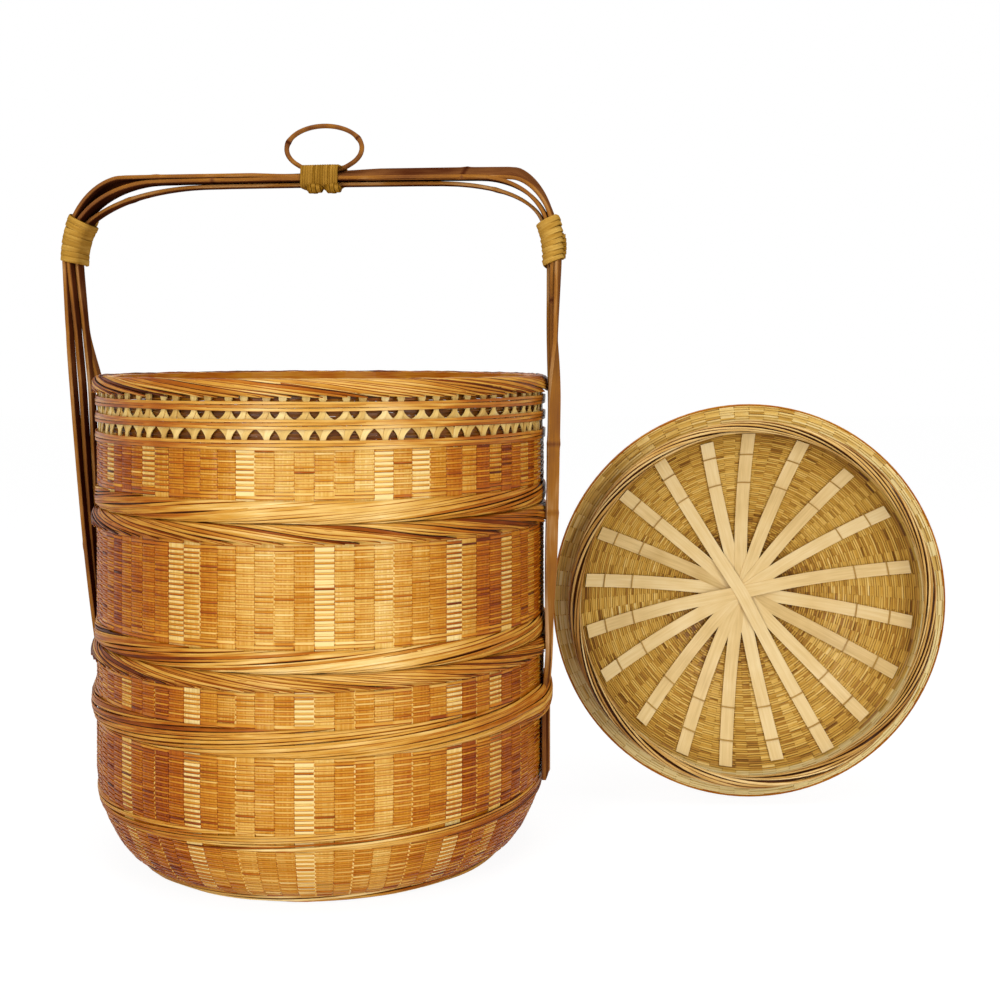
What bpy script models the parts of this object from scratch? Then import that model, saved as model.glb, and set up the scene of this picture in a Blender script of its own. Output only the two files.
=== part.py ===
"""A three-tier bamboo food basket under one arched handle, with its domed lid stood beside it.

The bottom basket stands on the floor, centred on the origin. The two trays above it nest in the
rim below and lift straight up. The lid stands on its edge, its mouth towards -Y.
Run in Blender: blender --background --python part.py
"""

import math

import bmesh
import bpy
import numpy as np
from mathutils import Matrix, Vector

for old in list(bpy.data.objects):
    bpy.data.objects.remove(old, do_unlink=True)

# What all the woven pieces share
GAP = 0.0003  # left between pieces that touch
WALL_R = 0.1462
WALL_T = 0.0025
BORDER_OUT = 0.0022  # how far a border stands out from the wall
BORDER_T = 0.0070
HOOP_T = 0.0057
HOOP_H = 0.0120
NEST_CLEARANCE = 0.0005
NEST_DEPTH = 0.0060
BAND_T = 0.0012  # how far a tray's foot band stands out from its wall
SPLINT_W = 0.0095
SPLINT_T = 0.0015
ROUND_STEPS = 36
SPLINT_ARMS = 20

# The bottom basket
BASE_H = 0.1387
BASE_BORDER_H = 0.0077
FOOT_IN = 0.0292  # how far the foot lies inside the wall
FOOT_RING_H = 0.0060
FOOT_RING_T = 0.0016
ROUNDING_TOP = 0.0386
ROUNDING_IN = 0.0027
UPRIGHT_FROM = 0.0600
ROUNDING_SHARES = ((0.30, 0.12), (0.585, 0.356), (0.85, 0.70))  # of the rounding's run and rise
LOWER_BAND_H = 0.0085
LOWER_BAND_T = 0.0016
WAIST_Z = 0.0920
WAIST_H = 0.0150
WAIST_T = 0.0026

# The trays
MIDDLE_H = 0.0853
MIDDLE_BORDER_H = 0.0100
TOP_H = 0.0830
TOP_BORDER_H = 0.0105
SHOULDER_RISE = 0.0055  # a tray's neck above its seat, before it widens
SHOULDER_H = 0.0075

# The open rows of the top tray
OPENWORK_H = 0.0268
STAKE_T = 0.0009
STAKE_HALF_H = 0.0036
STAKE_TURNS = 40
OPEN_BAND_T = 0.0014
OPEN_BAND_H = 0.0046
LOWER_OPEN_BAND_SHARE = 0.02  # where each band lies up the open rows
MIDDLE_OPEN_BAND_SHARE = 0.42
UPPER_OPEN_BAND_SHARE = 0.80

# The handle, an arch of strips in a plane turned a little from the front
HANDLE_YAW = math.radians(-8)
HANDLE_TOP = 0.4415
LEFT_REACH = 0.0323  # beyond the wall
RIGHT_REACH = 0.0115
SHOULDER_Z = 0.3840  # where the strips begin to bend over
STRIP_W = 0.0240  # over the top
MIDDLE_STRIP_W = 0.0168
INNER_STRIP_W = 0.0110
TAIL_W = 0.0064  # down the legs, where each strip is split narrow
STRIP_T = 0.0026
LEG_FIT = 0.0010  # between the legs and the wall at the waist
LEG_FOOT_Z = 0.0474
LAYER_STEP = 0.0029  # from one strip's face to the next, in the legs
TOP_LAYER_STEP = 0.0033
SIDE_STEP = 0.0068  # from strip to strip where they lie side by side
LEFT_FAN_STEP = 0.0035  # from tail to tail where they stand furthest apart
RIGHT_FAN_STEP = 0.0016
FAN_Z = 0.3000
SPREAD_Z = 0.3350  # below here the strips lie side by side
LEFT_OUTER_RUN = 0.0445  # how far along the top each strip's corner reaches
RIGHT_OUTER_RUN = 0.0340
MIDDLE_RUN = 0.0820
INNER_RUN = 0.1020
LEFT_PARTING = 0.4  # the lower it is, the sooner the strips part above the lashing
RIGHT_PARTING = 0.9
LEFT_BOW_SHARE = 0.7
RIGHT_BOW_SHARE = 0.5
LEG_STEPS = 9
CORNER_STEPS = 8

# The cane wound round the handle
LASHING_Z = 0.3810
LASHING_H = 0.0300
LASHING_TURNS = 7
LASHING_TUBE_R = 0.0014
LOOP_CORNER_STEPS = 3  # of each turn's round corners
LASHING_ROOM = 0.0006
LOW_TILT = math.radians(7)
HIGH_TILT = math.radians(24)
BINDING_L = 0.0250
BINDING_TURNS = 11
BINDING_TUBE_R = 0.0007
KNOT_W = 0.0110
KNOT_H = 0.0052
SIDE_KNOT_H = 0.0150
SIDE_KNOT_SHARE = 0.30  # how far up its lashing
SIDE_KNOT_T = 0.0048

# The hanging ring
RING_HALF_W = 0.0257
RING_H = 0.0300
RING_TUBE_R = 0.0011
RING_END = 0.0020
RING_FROM = math.radians(-50)
RING_STEPS = 28

# The lid, in its own frame with its mouth at the bottom
LID_IN = 0.0040  # how far the lid's edge lies inside the wall
LID_APART = 0.0091
LID_Y = 0.0880  # of the brim's plane
LID_BORDER_T = 0.0090
LID_BORDER_OUT = 0.0025  # beyond the collar
LID_BORDER_H = 0.0080
COLLAR_FIT = 0.0044  # between the collar and the hoop in the top tray's rim
COLLAR_T = 0.0024
COLLAR_H = 0.0205  # from the mouth to the brim
BRIM_T = 0.0030
DOME_H = 0.0435  # inside, from the brim's plane
DOME_T = 0.0025
DOME_IN = 0.0197  # how far the dome's hollow lies inside the lid's edge
ARM_END_IN = 0.0025
DOME_OUT_SHARES = ((0.35, 0.94), (0.63, 0.76), (0.83, 0.47), (0.96, 0.19))  # of radius and rise
DOME_STEPS = 5
DOME_POWER = 2.2

# Colours of the varnished bamboo
AMBER = (0.56, 0.27, 0.07, 1)
HONEY = (0.66, 0.38, 0.12, 1)
STRAW = (0.78, 0.62, 0.34, 1)
BROWN = (0.30, 0.13, 0.05, 1)
CANE = (0.72, 0.46, 0.14, 1)
VARNISH_ROUGHNESS = 0.35


def finish(name, colour):
    """A plain varnished bamboo of one colour, for the named piece."""
    material = bpy.data.materials.new(name + "_bamboo")
    material.use_nodes = True
    shader = material.node_tree.nodes["Principled BSDF"]
    shader.inputs["Base Color"].default_value = colour
    shader.inputs["Roughness"].default_value = VARNISH_ROUGHNESS
    shader.inputs["Metallic"].default_value = 0.0
    return material


def placed(name, mesh, colour, carrier=None):
    """Puts a mesh in the scene under its name, carried by an empty where one is given."""
    mesh.materials.append(finish(name, colour))
    mesh.shade_smooth()
    mesh.set_sharp_from_angle(angle=math.radians(35))
    piece = bpy.data.objects.new(name, mesh)
    bpy.context.scene.collection.objects.link(piece)
    piece.parent = carrier
    return piece


def closed(name, bm):
    """Turns a finished bmesh into a mesh whose faces point out."""
    bmesh.ops.recalc_face_normals(bm, faces=bm.faces)
    mesh = bpy.data.meshes.new(name)
    bm.to_mesh(mesh)
    bm.free()
    return mesh


def turned(name, profile, colour, carrier=None, steps=ROUND_STEPS, reshape=None):
    """Spins an outline of (radius, height) about Z. It may start and end on the axis."""
    bm = bmesh.new()
    line = [bm.verts.new((r, 0, z)) for r, z in profile]
    ends = [] if profile[0][0] == 0 else [(line[-1], line[0])]
    edges = [bm.edges.new(pair) for pair in [*zip(line, line[1:]), *ends]]
    bmesh.ops.spin(
        bm, geom=line + edges, axis=(0, 0, 1), cent=(0, 0, 0), angle=math.tau, steps=steps,
        use_merge=True,
    )
    bmesh.ops.remove_doubles(bm, verts=bm.verts, dist=GAP / 10)
    if reshape:
        for vert in bm.verts:
            vert.co = reshape(vert.co)
    return placed(name, closed(name, bm), colour, carrier)


def hoop(name, inner, outer, bottom, top, colour, carrier=None, steps=ROUND_STEPS, reshape=None):
    """A ring of rectangular section."""
    profile = [(outer, top), (outer, bottom), (inner, bottom), (inner, top)]
    return turned(name, profile, colour, carrier, steps, reshape)


def border(name, outer, thickness, bottom, top, carrier=None, colour=AMBER):
    """A rolled border: flat inside and below, and rounded outside and on top."""
    inner = outer - thickness
    soft = (top - bottom) / 3
    profile = [
        (outer - soft, top),
        (outer, top - soft),
        (outer, bottom + soft / 2),
        (outer - soft / 2, bottom),
        (inner, bottom),
        (inner, top),
    ]
    return turned(name, profile, colour, carrier)


def star(name, reach, arms, steps, height_at, colour, carrier=None):
    """Flat splints crossed at their middles, as one layer. Each height comes from its radius."""
    turn = math.tau / arms
    fork = SPLINT_W / 2 / math.sin(turn / 2)
    spine = fork * math.cos(turn / 2)
    bm = bmesh.new()

    def corner(angle, along, side):
        point = Matrix.Rotation(angle, 3, "Z") @ Vector((along, side, 0))
        point.z = height_at(math.hypot(along, side))
        return bm.verts.new(point)

    hub = bm.verts.new((0, 0, height_at(0)))
    forks = [corner((i - 0.5) * turn, fork, 0) for i in range(arms)]
    for i in range(arms):
        right, left = forks[i], forks[(i + 1) % arms]
        bm.faces.new((hub, right, left))
        for step in range(1, steps + 1):
            along = spine + (reach - spine) * step / steps
            next_right = corner(i * turn, along, -SPLINT_W / 2)
            next_left = corner(i * turn, along, SPLINT_W / 2)
            bm.faces.new((right, next_right, next_left, left))
            right, left = next_right, next_left
    raised = bmesh.ops.extrude_face_region(bm, geom=bm.faces[:], use_keep_orig=True)["geom"]
    tops = [v for v in raised if isinstance(v, bmesh.types.BMVert)]
    bmesh.ops.translate(bm, verts=tops, vec=(0, 0, SPLINT_T))
    return placed(name, closed(name, bm), colour, carrier)


def axis_empty(name, place, turn=(0, 0, 0)):
    """An empty on the axis of a moving body, which carries its pieces."""
    empty = bpy.data.objects.new(name, None)
    empty.location = place
    empty.rotation_euler = turn
    bpy.context.scene.collection.objects.link(empty)
    return empty


# Bottom basket: woven shell, with the splints and bands that shape and stiffen it
foot_r = WALL_R - FOOT_IN
rounding_r = WALL_R - ROUNDING_IN
base_floor_z = SPLINT_T + GAP
base_wall_top = BASE_H - BASE_BORDER_H - GAP
rounding_from = FOOT_RING_H + 2 * GAP
rounding_run = rounding_r - foot_r
rounding_rise = ROUNDING_TOP - rounding_from
rounding = [
    (foot_r + run * rounding_run, rounding_from + rise * rounding_rise)
    for run, rise in ROUNDING_SHARES
]
outside = [
    (foot_r, base_floor_z),
    (foot_r, rounding_from),
    *rounding,
    (rounding_r, ROUNDING_TOP),
    (WALL_R, UPRIGHT_FROM),
    (WALL_R, base_wall_top),
]
inside = [
    (WALL_R - WALL_T, base_wall_top),
    (WALL_R - WALL_T, UPRIGHT_FROM),
    (rounding_r - WALL_T, ROUNDING_TOP),
    *[(r - WALL_T, z + WALL_T / 2) for r, z in reversed(rounding)],
    (foot_r - WALL_T, rounding_from + WALL_T),
    (foot_r - WALL_T, base_floor_z + WALL_T),
]
turned(
    "base_shell",
    [(0, base_floor_z), *outside, *inside, (0, base_floor_z + WALL_T)],
    AMBER,
)
star("base_bottom_splints", foot_r - WALL_T, SPLINT_ARMS, 1, lambda r: 0, STRAW)
hoop("base_foot_ring", foot_r + GAP, foot_r + GAP + FOOT_RING_T, 0, FOOT_RING_H, HONEY)


def base_wall_r(z):
    """Outside radius of the bottom basket between its rounding and its upright wall."""
    share = (z - ROUNDING_TOP) / (UPRIGHT_FROM - ROUNDING_TOP)
    return rounding_r + share * (WALL_R - rounding_r)


lower_band_top = ROUNDING_TOP + LOWER_BAND_H
turned(
    "base_lower_band",
    [
        (base_wall_r(lower_band_top) + LOWER_BAND_T, lower_band_top),
        (rounding_r + LOWER_BAND_T, ROUNDING_TOP),
        (rounding_r + GAP, ROUNDING_TOP),
        (base_wall_r(lower_band_top) + GAP, lower_band_top),
    ],
    HONEY,
)

leg_face_r = WALL_R + LEG_FIT + STRIP_T
leg_half_width = SIDE_STEP * 1.5 + TAIL_W / 2
bulge = math.hypot(leg_face_r, leg_half_width) / math.cos(math.pi / ROUND_STEPS) - WALL_R
leg_angles = (HANDLE_YAW, HANDLE_YAW + math.pi)
facet = math.tau / ROUND_STEPS


def over_the_legs(point):
    """Moves a point of the waist band out where it passes over the handle's legs."""
    angle = math.atan2(point.y, point.x)
    away = min(abs(math.remainder(angle - leg, math.tau)) for leg in leg_angles)
    share = min(1, max(0, (3 * facet - away) / (1.8 * facet)))
    radius = math.hypot(point.x, point.y)
    return Vector((point.x, point.y, 0)) * (1 + share * bulge / radius) + Vector((0, 0, point.z))


hoop(
    "waist_band", WALL_R + GAP, WALL_R + WAIST_T, WAIST_Z, WAIST_Z + WAIST_H, HONEY,
    reshape=over_the_legs,
)


border_r = WALL_R + BORDER_OUT
hoop_in_r = border_r - BORDER_T - GAP - HOOP_T


def rim(tier, top, border_h, carrier=None):
    """The rolled border on a tier's wall and the hoop inside it, flush at the top."""
    border(tier + "_border", border_r, BORDER_T, top - border_h, top, carrier)
    low = top - HOOP_H
    hoop(tier + "_inner_hoop", hoop_in_r, hoop_in_r + HOOP_T, low, top, BROWN, carrier)


rim("base", BASE_H, BASE_BORDER_H)


# Trays: each necks in to a foot that drops inside the hoop of the tier below
neck_r = hoop_in_r - NEST_CLEARANCE


def tray(tier, height, wall_h, border_h, carrier):
    """A tray with its seat at the height of the empty that carries it."""
    low = -NEST_DEPTH
    floor = low + WALL_T
    neck_top = SHOULDER_RISE
    shoulder_top = SHOULDER_RISE + SHOULDER_H
    turned(
        tier + "_shell",
        [
            (0, low),
            (neck_r, low),
            (neck_r, neck_top),
            (WALL_R, shoulder_top),
            (WALL_R, wall_h),
            (WALL_R - WALL_T, wall_h),
            (WALL_R - WALL_T, shoulder_top + WALL_T),
            (neck_r - WALL_T, neck_top + WALL_T),
            (neck_r - WALL_T, floor),
            (0, floor),
        ],
        AMBER,
        carrier,
    )
    turned(
        tier + "_foot_band",
        [
            (WALL_R + BAND_T, shoulder_top),
            (WALL_R + BAND_T, GAP),
            (neck_r + GAP, GAP),
            (neck_r + GAP, neck_top - GAP),
            (WALL_R + GAP, shoulder_top),
        ],
        HONEY,
        carrier,
    )
    reach = (neck_r - WALL_T) * math.cos(math.pi / ROUND_STEPS) - GAP
    star(
        tier + "_floor_splints", reach, SPLINT_ARMS, 1, lambda r: floor + GAP, STRAW, carrier,
    )
    rim(tier, height, border_h, carrier)


middle_tray = axis_empty("middle_tray_axis", (0, 0, BASE_H))
tray("middle", MIDDLE_H, MIDDLE_H - MIDDLE_BORDER_H - GAP, MIDDLE_BORDER_H, middle_tray)

top_tray = axis_empty("top_tray_axis", (0, 0, BASE_H + MIDDLE_H))
openwork_top = TOP_H - TOP_BORDER_H
openwork_low = openwork_top - OPENWORK_H
tray("top", TOP_H, openwork_low, TOP_BORDER_H, top_tray)

# Openwork: the top tray's stakes cross in two layers behind three narrow bands
stakes_low = openwork_low + GAP + STAKE_HALF_H
stakes_high = openwork_top - GAP - STAKE_HALF_H
stakes_r = WALL_R - WALL_T + STAKE_T - GAP


def zigzag(first_turn_up):
    """Moves a ring's stations up and down in turn, which makes one layer of leaning stakes."""

    def move(point):
        station = round(math.atan2(point.y, point.x) / math.tau * 2 * STAKE_TURNS)
        up = (station % 2 == 0) == first_turn_up
        return Vector((point.x, point.y, point.z + (stakes_high if up else stakes_low)))

    return move


for layer, first_turn_up, outer in (
    ("outer", True, stakes_r + STAKE_T + GAP / 2),
    ("inner", False, stakes_r - GAP / 2),
):
    hoop(
        f"openwork_{layer}_stakes", outer - STAKE_T, outer, -STAKE_HALF_H, STAKE_HALF_H, STRAW,
        top_tray, 2 * STAKE_TURNS, zigzag(first_turn_up),
    )

open_band_r = (stakes_r + STAKE_T + GAP) / math.cos(math.pi / ROUND_STEPS) + GAP
for level, share in (
    ("lower", LOWER_OPEN_BAND_SHARE),
    ("middle", MIDDLE_OPEN_BAND_SHARE),
    ("upper", UPPER_OPEN_BAND_SHARE),
):
    band_low = openwork_low + share * OPENWORK_H
    hoop(
        f"openwork_{level}_band", open_band_r, open_band_r + OPEN_BAND_T, band_low,
        band_low + OPEN_BAND_H, HONEY, top_tray,
    )

# Handle: strips bent over the top, stacked there and side by side down the legs
SIDES = {
    -1: (WALL_R + LEFT_REACH, LEFT_BOW_SHARE, LEFT_FAN_STEP, LEFT_OUTER_RUN, LEFT_PARTING),
    1: (WALL_R + RIGHT_REACH, RIGHT_BOW_SHARE, RIGHT_FAN_STEP, RIGHT_OUTER_RUN, RIGHT_PARTING),
}
leg_bottom_u = leg_face_r
leg_steady_z = WAIST_Z + WAIST_H
handle_turn = Matrix.Rotation(HANDLE_YAW, 4, "Z")
in_plane = handle_turn.to_3x3()


def leg_point(side, z, layers, sides, widths):
    """A strip's middle in a leg, as distance from the axis, offset and height, and its width.

    Layers, sides and widths each give a value for the leg's fan and one for its lashing.
    """
    reach, bow, fan_step = SIDES[side][:3]
    rise = min(1, max(0, (z - leg_steady_z) / (SHOULDER_Z - leg_steady_z)))
    face = leg_bottom_u + (reach - leg_bottom_u) * rise**bow
    step = float(np.interp(z, (leg_steady_z, FAN_Z, SPREAD_Z), (0, fan_step, LAYER_STEP)))
    layer = float(np.interp(z, (FAN_Z, SPREAD_Z), layers))
    u = face - layer * step - STRIP_T / 2
    v, width = [float(np.interp(z, (SPREAD_Z, SHOULDER_Z), pair)) for pair in (sides, widths)]
    return Vector((side * u, v, z)), width


def leg_stations(side, layers, sides, widths):
    """Points up one leg, from its foot to the height where its strip begins to bend over."""
    free = [leg_steady_z + (FAN_Z - leg_steady_z) * i / LEG_STEPS for i in range(LEG_STEPS)]
    heights = [LEG_FOOT_Z, *free, FAN_Z, SPREAD_Z, SHOULDER_Z]
    return [leg_point(side, z, layers, sides, widths) for z in heights]


def corner_stations(side, layer, offset, width, run):
    """Points round one corner, where the strips keep together until they leave the lashing."""
    rise = HANDLE_TOP - layer * TOP_LAYER_STEP - STRIP_T / 2 - SHOULDER_Z
    reach, _, _, outer_run, parting = SIDES[side]
    start = reach - layer * LAYER_STEP - STRIP_T / 2
    held = math.asin((LASHING_Z + LASHING_H - SHOULDER_Z) / rise)
    points = []
    for i in range(1, CORNER_STEPS + 1):
        angle = math.pi / 2 * i / CORNER_STEPS
        free = max(0, (angle - held) / (math.pi / 2 - held))
        reach_in = outer_run
        if run is not None:
            reach_in += (run - outer_run) * free**parting
        u = start - reach_in * (1 - math.cos(angle))
        points.append((Vector((side * u, offset, SHOULDER_Z + rise * math.sin(angle))), width))
    return points


def arch(layer, sides, width, run):
    """The middle line of a whole strip, from the left foot over the top to the right foot. The
    outer strip has no run of its own, because it makes the corners."""
    halves = []
    for side in SIDES:
        leg = leg_stations(side, (layer, layer), sides, (TAIL_W, width))
        halves.append(leg + corner_stations(side, layer, sides[1], width, run))
    return halves[0] + halves[1][::-1]


def swept_strip(name, line, colour):
    """A flat strip along a line in the handle's plane, with its width square to that plane."""
    bm = bmesh.new()
    rings = []
    for i, (point, width) in enumerate(line):
        ahead = line[min(i + 1, len(line) - 1)][0] - line[max(i - 1, 0)][0]
        outward = Vector((-ahead.z, 0, ahead.x)).normalized() * STRIP_T / 2
        across = Vector((0, width / 2, 0))
        corners = (outward + across, outward - across, -outward - across, -outward + across)
        rings.append([bm.verts.new(in_plane @ (point + corner)) for corner in corners])
    for low, high in zip(rings, rings[1:]):
        for i in range(4):
            j = (i + 1) % 4
            bm.faces.new((low[i], low[j], high[j], high[i]))
    bm.faces.new(rings[0])
    bm.faces.new(rings[-1])
    return placed(name, closed(name, bm), colour)


half_step = SIDE_STEP / 2
middle_side = (MIDDLE_STRIP_W - STRIP_W) / 2
splint_side = (STRIP_W - TAIL_W) / 2
outer_arch = arch(0, (-3 * half_step, 0), STRIP_W, None)
middle_arch = arch(1, (-half_step, middle_side), MIDDLE_STRIP_W, MIDDLE_RUN)
inner_arch = arch(2, (half_step, 0), INNER_STRIP_W, INNER_RUN)
swept_strip("handle_outer_strip", outer_arch, BROWN)
swept_strip("handle_middle_strip", middle_arch, BROWN)
swept_strip("handle_inner_strip", inner_arch, BROWN)

for name, side in (("left", -1), ("right", 1)):
    splint = leg_stations(side, (3, 1), (3 * half_step, splint_side), (TAIL_W, TAIL_W))
    swept_strip(name + "_leg_splint", splint, HONEY)


# Lashings and binding: cane wound round the bundle, each one unbroken tube
LOOP_POINTS = 4 * (LOOP_CORNER_STEPS + 1)


def loop_point(half_u, half_v, corner, i):
    """The i-th point round a rectangle whose corners are round. Its sides need none."""
    quarter, step = divmod(i % LOOP_POINTS, LOOP_CORNER_STEPS + 1)
    angle = math.pi / 2 * (quarter + step / LOOP_CORNER_STEPS)
    u = (half_u - corner) * (1 if quarter in (0, 3) else -1) + corner * math.cos(angle)
    v = (half_v - corner) * (1 if quarter < 2 else -1) + corner * math.sin(angle)
    return Vector((u, v, 0))


def straight_ends(points, length):
    """Adds a straight run at each end of a wound line."""
    first = (points[0] - points[1]).normalized() * length
    last = (points[-1] - points[-2]).normalized() * length
    return [points[0] + first, *points, points[-1] + last]


def wound_tube(name, points, radius, colour):
    """One tube along a wound line. Prints the least gap that it keeps to its next turn."""
    points = straight_ends(points, 2 * radius)
    curve = bpy.data.curves.new(name, "CURVE")
    curve.dimensions = "3D"
    curve.bevel_depth = radius
    curve.bevel_resolution = 1
    curve.use_fill_caps = True
    spline = curve.splines.new("POLY")
    spline.points.add(len(points) - 1)
    for target, point in zip(spline.points, points):
        target.co = (*(in_plane @ point), 1)
    curve.materials.append(finish(name, colour))
    tube = bpy.data.objects.new(name, curve)
    bpy.context.scene.collection.objects.link(tube)
    line = np.array([tuple(p) for p in points])
    apart = np.linalg.norm(line[:, None] - line[None], axis=2)
    steps = np.abs(np.subtract.outer(range(len(line)), range(len(line))))
    least = apart[steps > LOOP_POINTS / 2].min() - 2 * radius
    print(f"{name}: least gap to itself {least * 1000:.2f} mm")
    return tube


bundle_half_v = STRIP_W / 2 + GAP + LASHING_TUBE_R + LASHING_ROOM
corner_r = GAP + LASHING_TUBE_R + LASHING_ROOM


def crossing(line, z, sign):
    """How far from the axis a strip's middle is at a height, on one side of the arch."""
    leg = sorted((p for p, _ in line if p.x * sign > 0), key=lambda p: p.z)
    return float(np.interp(z, [p.z for p in leg], [abs(p.x) for p in leg]))


def lashing_section(share, sign):
    """Middle, half width, height and tilt of the wound bundle at a share of a lashing."""
    z = LASHING_Z + share * LASHING_H
    outer, inner = crossing(outer_arch, z, sign), crossing(inner_arch, z, sign)
    tilt = LOW_TILT + share * (HIGH_TILT - LOW_TILT)
    half_u = (outer - inner) / 2 + STRIP_T / 2 / math.cos(tilt) + corner_r
    return (outer + inner) / 2, half_u, z, tilt


def lashing(name, sign):
    """Cane wound round a shoulder of the handle, tilting as the bundle bends over."""
    points = []
    count = LASHING_TURNS * LOOP_POINTS
    for i in range(count + 1):
        middle, half_u, z, tilt = lashing_section(i / count, sign)
        at = loop_point(half_u, bundle_half_v, corner_r, i)
        points.append(Vector((sign * (middle + at.x), at.y, z + at.x * math.tan(tilt))))
    return wound_tube(name, points, LASHING_TUBE_R, CANE)


lashing("left_lashing", -1)
lashing("right_lashing", 1)

binding_content_low = HANDLE_TOP - 2 * TOP_LAYER_STEP - STRIP_T
ring_low = HANDLE_TOP + GAP + RING_TUBE_R
binding_content_high = ring_low + RING_TUBE_R
binding_corner = GAP + BINDING_TUBE_R + GAP
binding_half_u = (binding_content_high - binding_content_low) / 2 + binding_corner
binding_half_v = STRIP_W / 2 + binding_corner
binding_z = (binding_content_high + binding_content_low) / 2
wound = []
for i in range(BINDING_TURNS * LOOP_POINTS + 1):
    at = loop_point(binding_half_u, binding_half_v, binding_corner, i)
    along = (i / (BINDING_TURNS * LOOP_POINTS) - 0.5) * BINDING_L
    wound.append(Vector((along, at.y, binding_z + at.x)))
wound_tube("centre_binding", wound, BINDING_TUBE_R, CANE)


def knot(name, place, size):
    """A small rounded knot."""
    bm = bmesh.new()
    scale = Matrix.Diagonal((*[s / 2 for s in size], 1))
    bmesh.ops.create_uvsphere(
        bm, u_segments=8, v_segments=6, radius=1,
        matrix=Matrix.Translation(in_plane @ place) @ handle_turn @ scale,
    )
    placed(name, closed(name, bm), CANE)


knot_z = binding_z - binding_half_u - BINDING_TUBE_R - GAP - KNOT_H / 2
for side, sign in (("left", -1), ("right", 1)):
    knot_place = Vector((sign * (KNOT_W + GAP) / 2, -splint_side, knot_z))
    knot(f"{side}_binding_knot", knot_place, (KNOT_W, TAIL_W, KNOT_H))

knot_middle, knot_half_u, knot_at, knot_tilt = lashing_section(SIDE_KNOT_SHARE, 1)
knot_u = knot_middle + knot_half_u + LASHING_TUBE_R + GAP + SIDE_KNOT_T / 2
knot_rise = knot_half_u * math.tan(knot_tilt)
knot(
    "right_lashing_knot", Vector((knot_u, 0, knot_at + knot_rise)),
    (SIDE_KNOT_T, TAIL_W, SIDE_KNOT_H),
)

# Hanging ring: a bent cane whose ends lie under the binding, on the outer strip
oval_half_h = RING_H / 2
oval_z = ring_low + RING_H / 2
ring_line = []
for i in range(RING_STEPS + 1):
    angle = RING_FROM + (math.pi - 2 * RING_FROM) * i / RING_STEPS
    height = oval_z + oval_half_h * math.sin(angle)
    ring_line.append(Vector((RING_HALF_W * math.cos(angle), 0, height)))
bend_u = BINDING_L / 2 + RING_TUBE_R
ring_line = [
    Vector((RING_END, 0, ring_low)),
    Vector((bend_u, 0, ring_low)),
    *ring_line,
    Vector((-bend_u, 0, ring_low)),
    Vector((-RING_END, 0, ring_low)),
]
ring_curve = bpy.data.curves.new("hanging_ring", "CURVE")
ring_curve.dimensions = "3D"
ring_curve.bevel_depth = RING_TUBE_R
ring_curve.bevel_resolution = 1
ring_curve.use_fill_caps = True
ring_spline = ring_curve.splines.new("POLY")
ring_spline.points.add(len(ring_line) - 1)
for target, point in zip(ring_spline.points, ring_line):
    target.co = (*(in_plane @ point), 1)
ring_curve.materials.append(finish("hanging_ring", BROWN))
bpy.context.scene.collection.objects.link(bpy.data.objects.new("hanging_ring", ring_curve))

# Lid: stood on its brim, its dome away from the front
lid_r = WALL_R - LID_IN
dome_r = lid_r - DOME_IN
collar_r = hoop_in_r - COLLAR_FIT
lid_x = WALL_R + LID_APART + lid_r
lid = axis_empty("lid_axis", (lid_x, LID_Y - COLLAR_H, lid_r), (math.radians(-90), 0, 0))
brim_z = COLLAR_H
dome_rise = DOME_H + DOME_T


def dome_in(r):
    """Height of the dome's inner face above the mouth."""
    return brim_z + DOME_H * (1 - (r / dome_r) ** DOME_POWER)


shell_out = [
    (share * lid_r, brim_z + BRIM_T + (dome_rise - BRIM_T) * rise)
    for share, rise in DOME_OUT_SHARES
]
inner_radii = [dome_r * i / DOME_STEPS for i in range(DOME_STEPS, 0, -1)]
shell_in = [(r, dome_in(r)) for r in inner_radii]
turned(
    "lid_shell",
    [
        (0, brim_z + dome_rise),
        *shell_out,
        (lid_r, brim_z + BRIM_T),
        (lid_r, brim_z),
        *shell_in,
        (0, dome_in(0)),
    ],
    HONEY,
    lid,
)
star(
    "lid_splints", dome_r - ARM_END_IN, SPLINT_ARMS, DOME_STEPS - 1,
    lambda r: dome_in(r) - SPLINT_T - 2 * GAP, STRAW, lid,
)
hoop("lid_collar", collar_r - COLLAR_T, collar_r, LID_BORDER_H + GAP, brim_z - GAP, HONEY, lid)
lid_border_r = collar_r + LID_BORDER_OUT
hoop("lid_border", lid_border_r - LID_BORDER_T, lid_border_r, 0, LID_BORDER_H, HONEY, lid)
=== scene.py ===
import math

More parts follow.
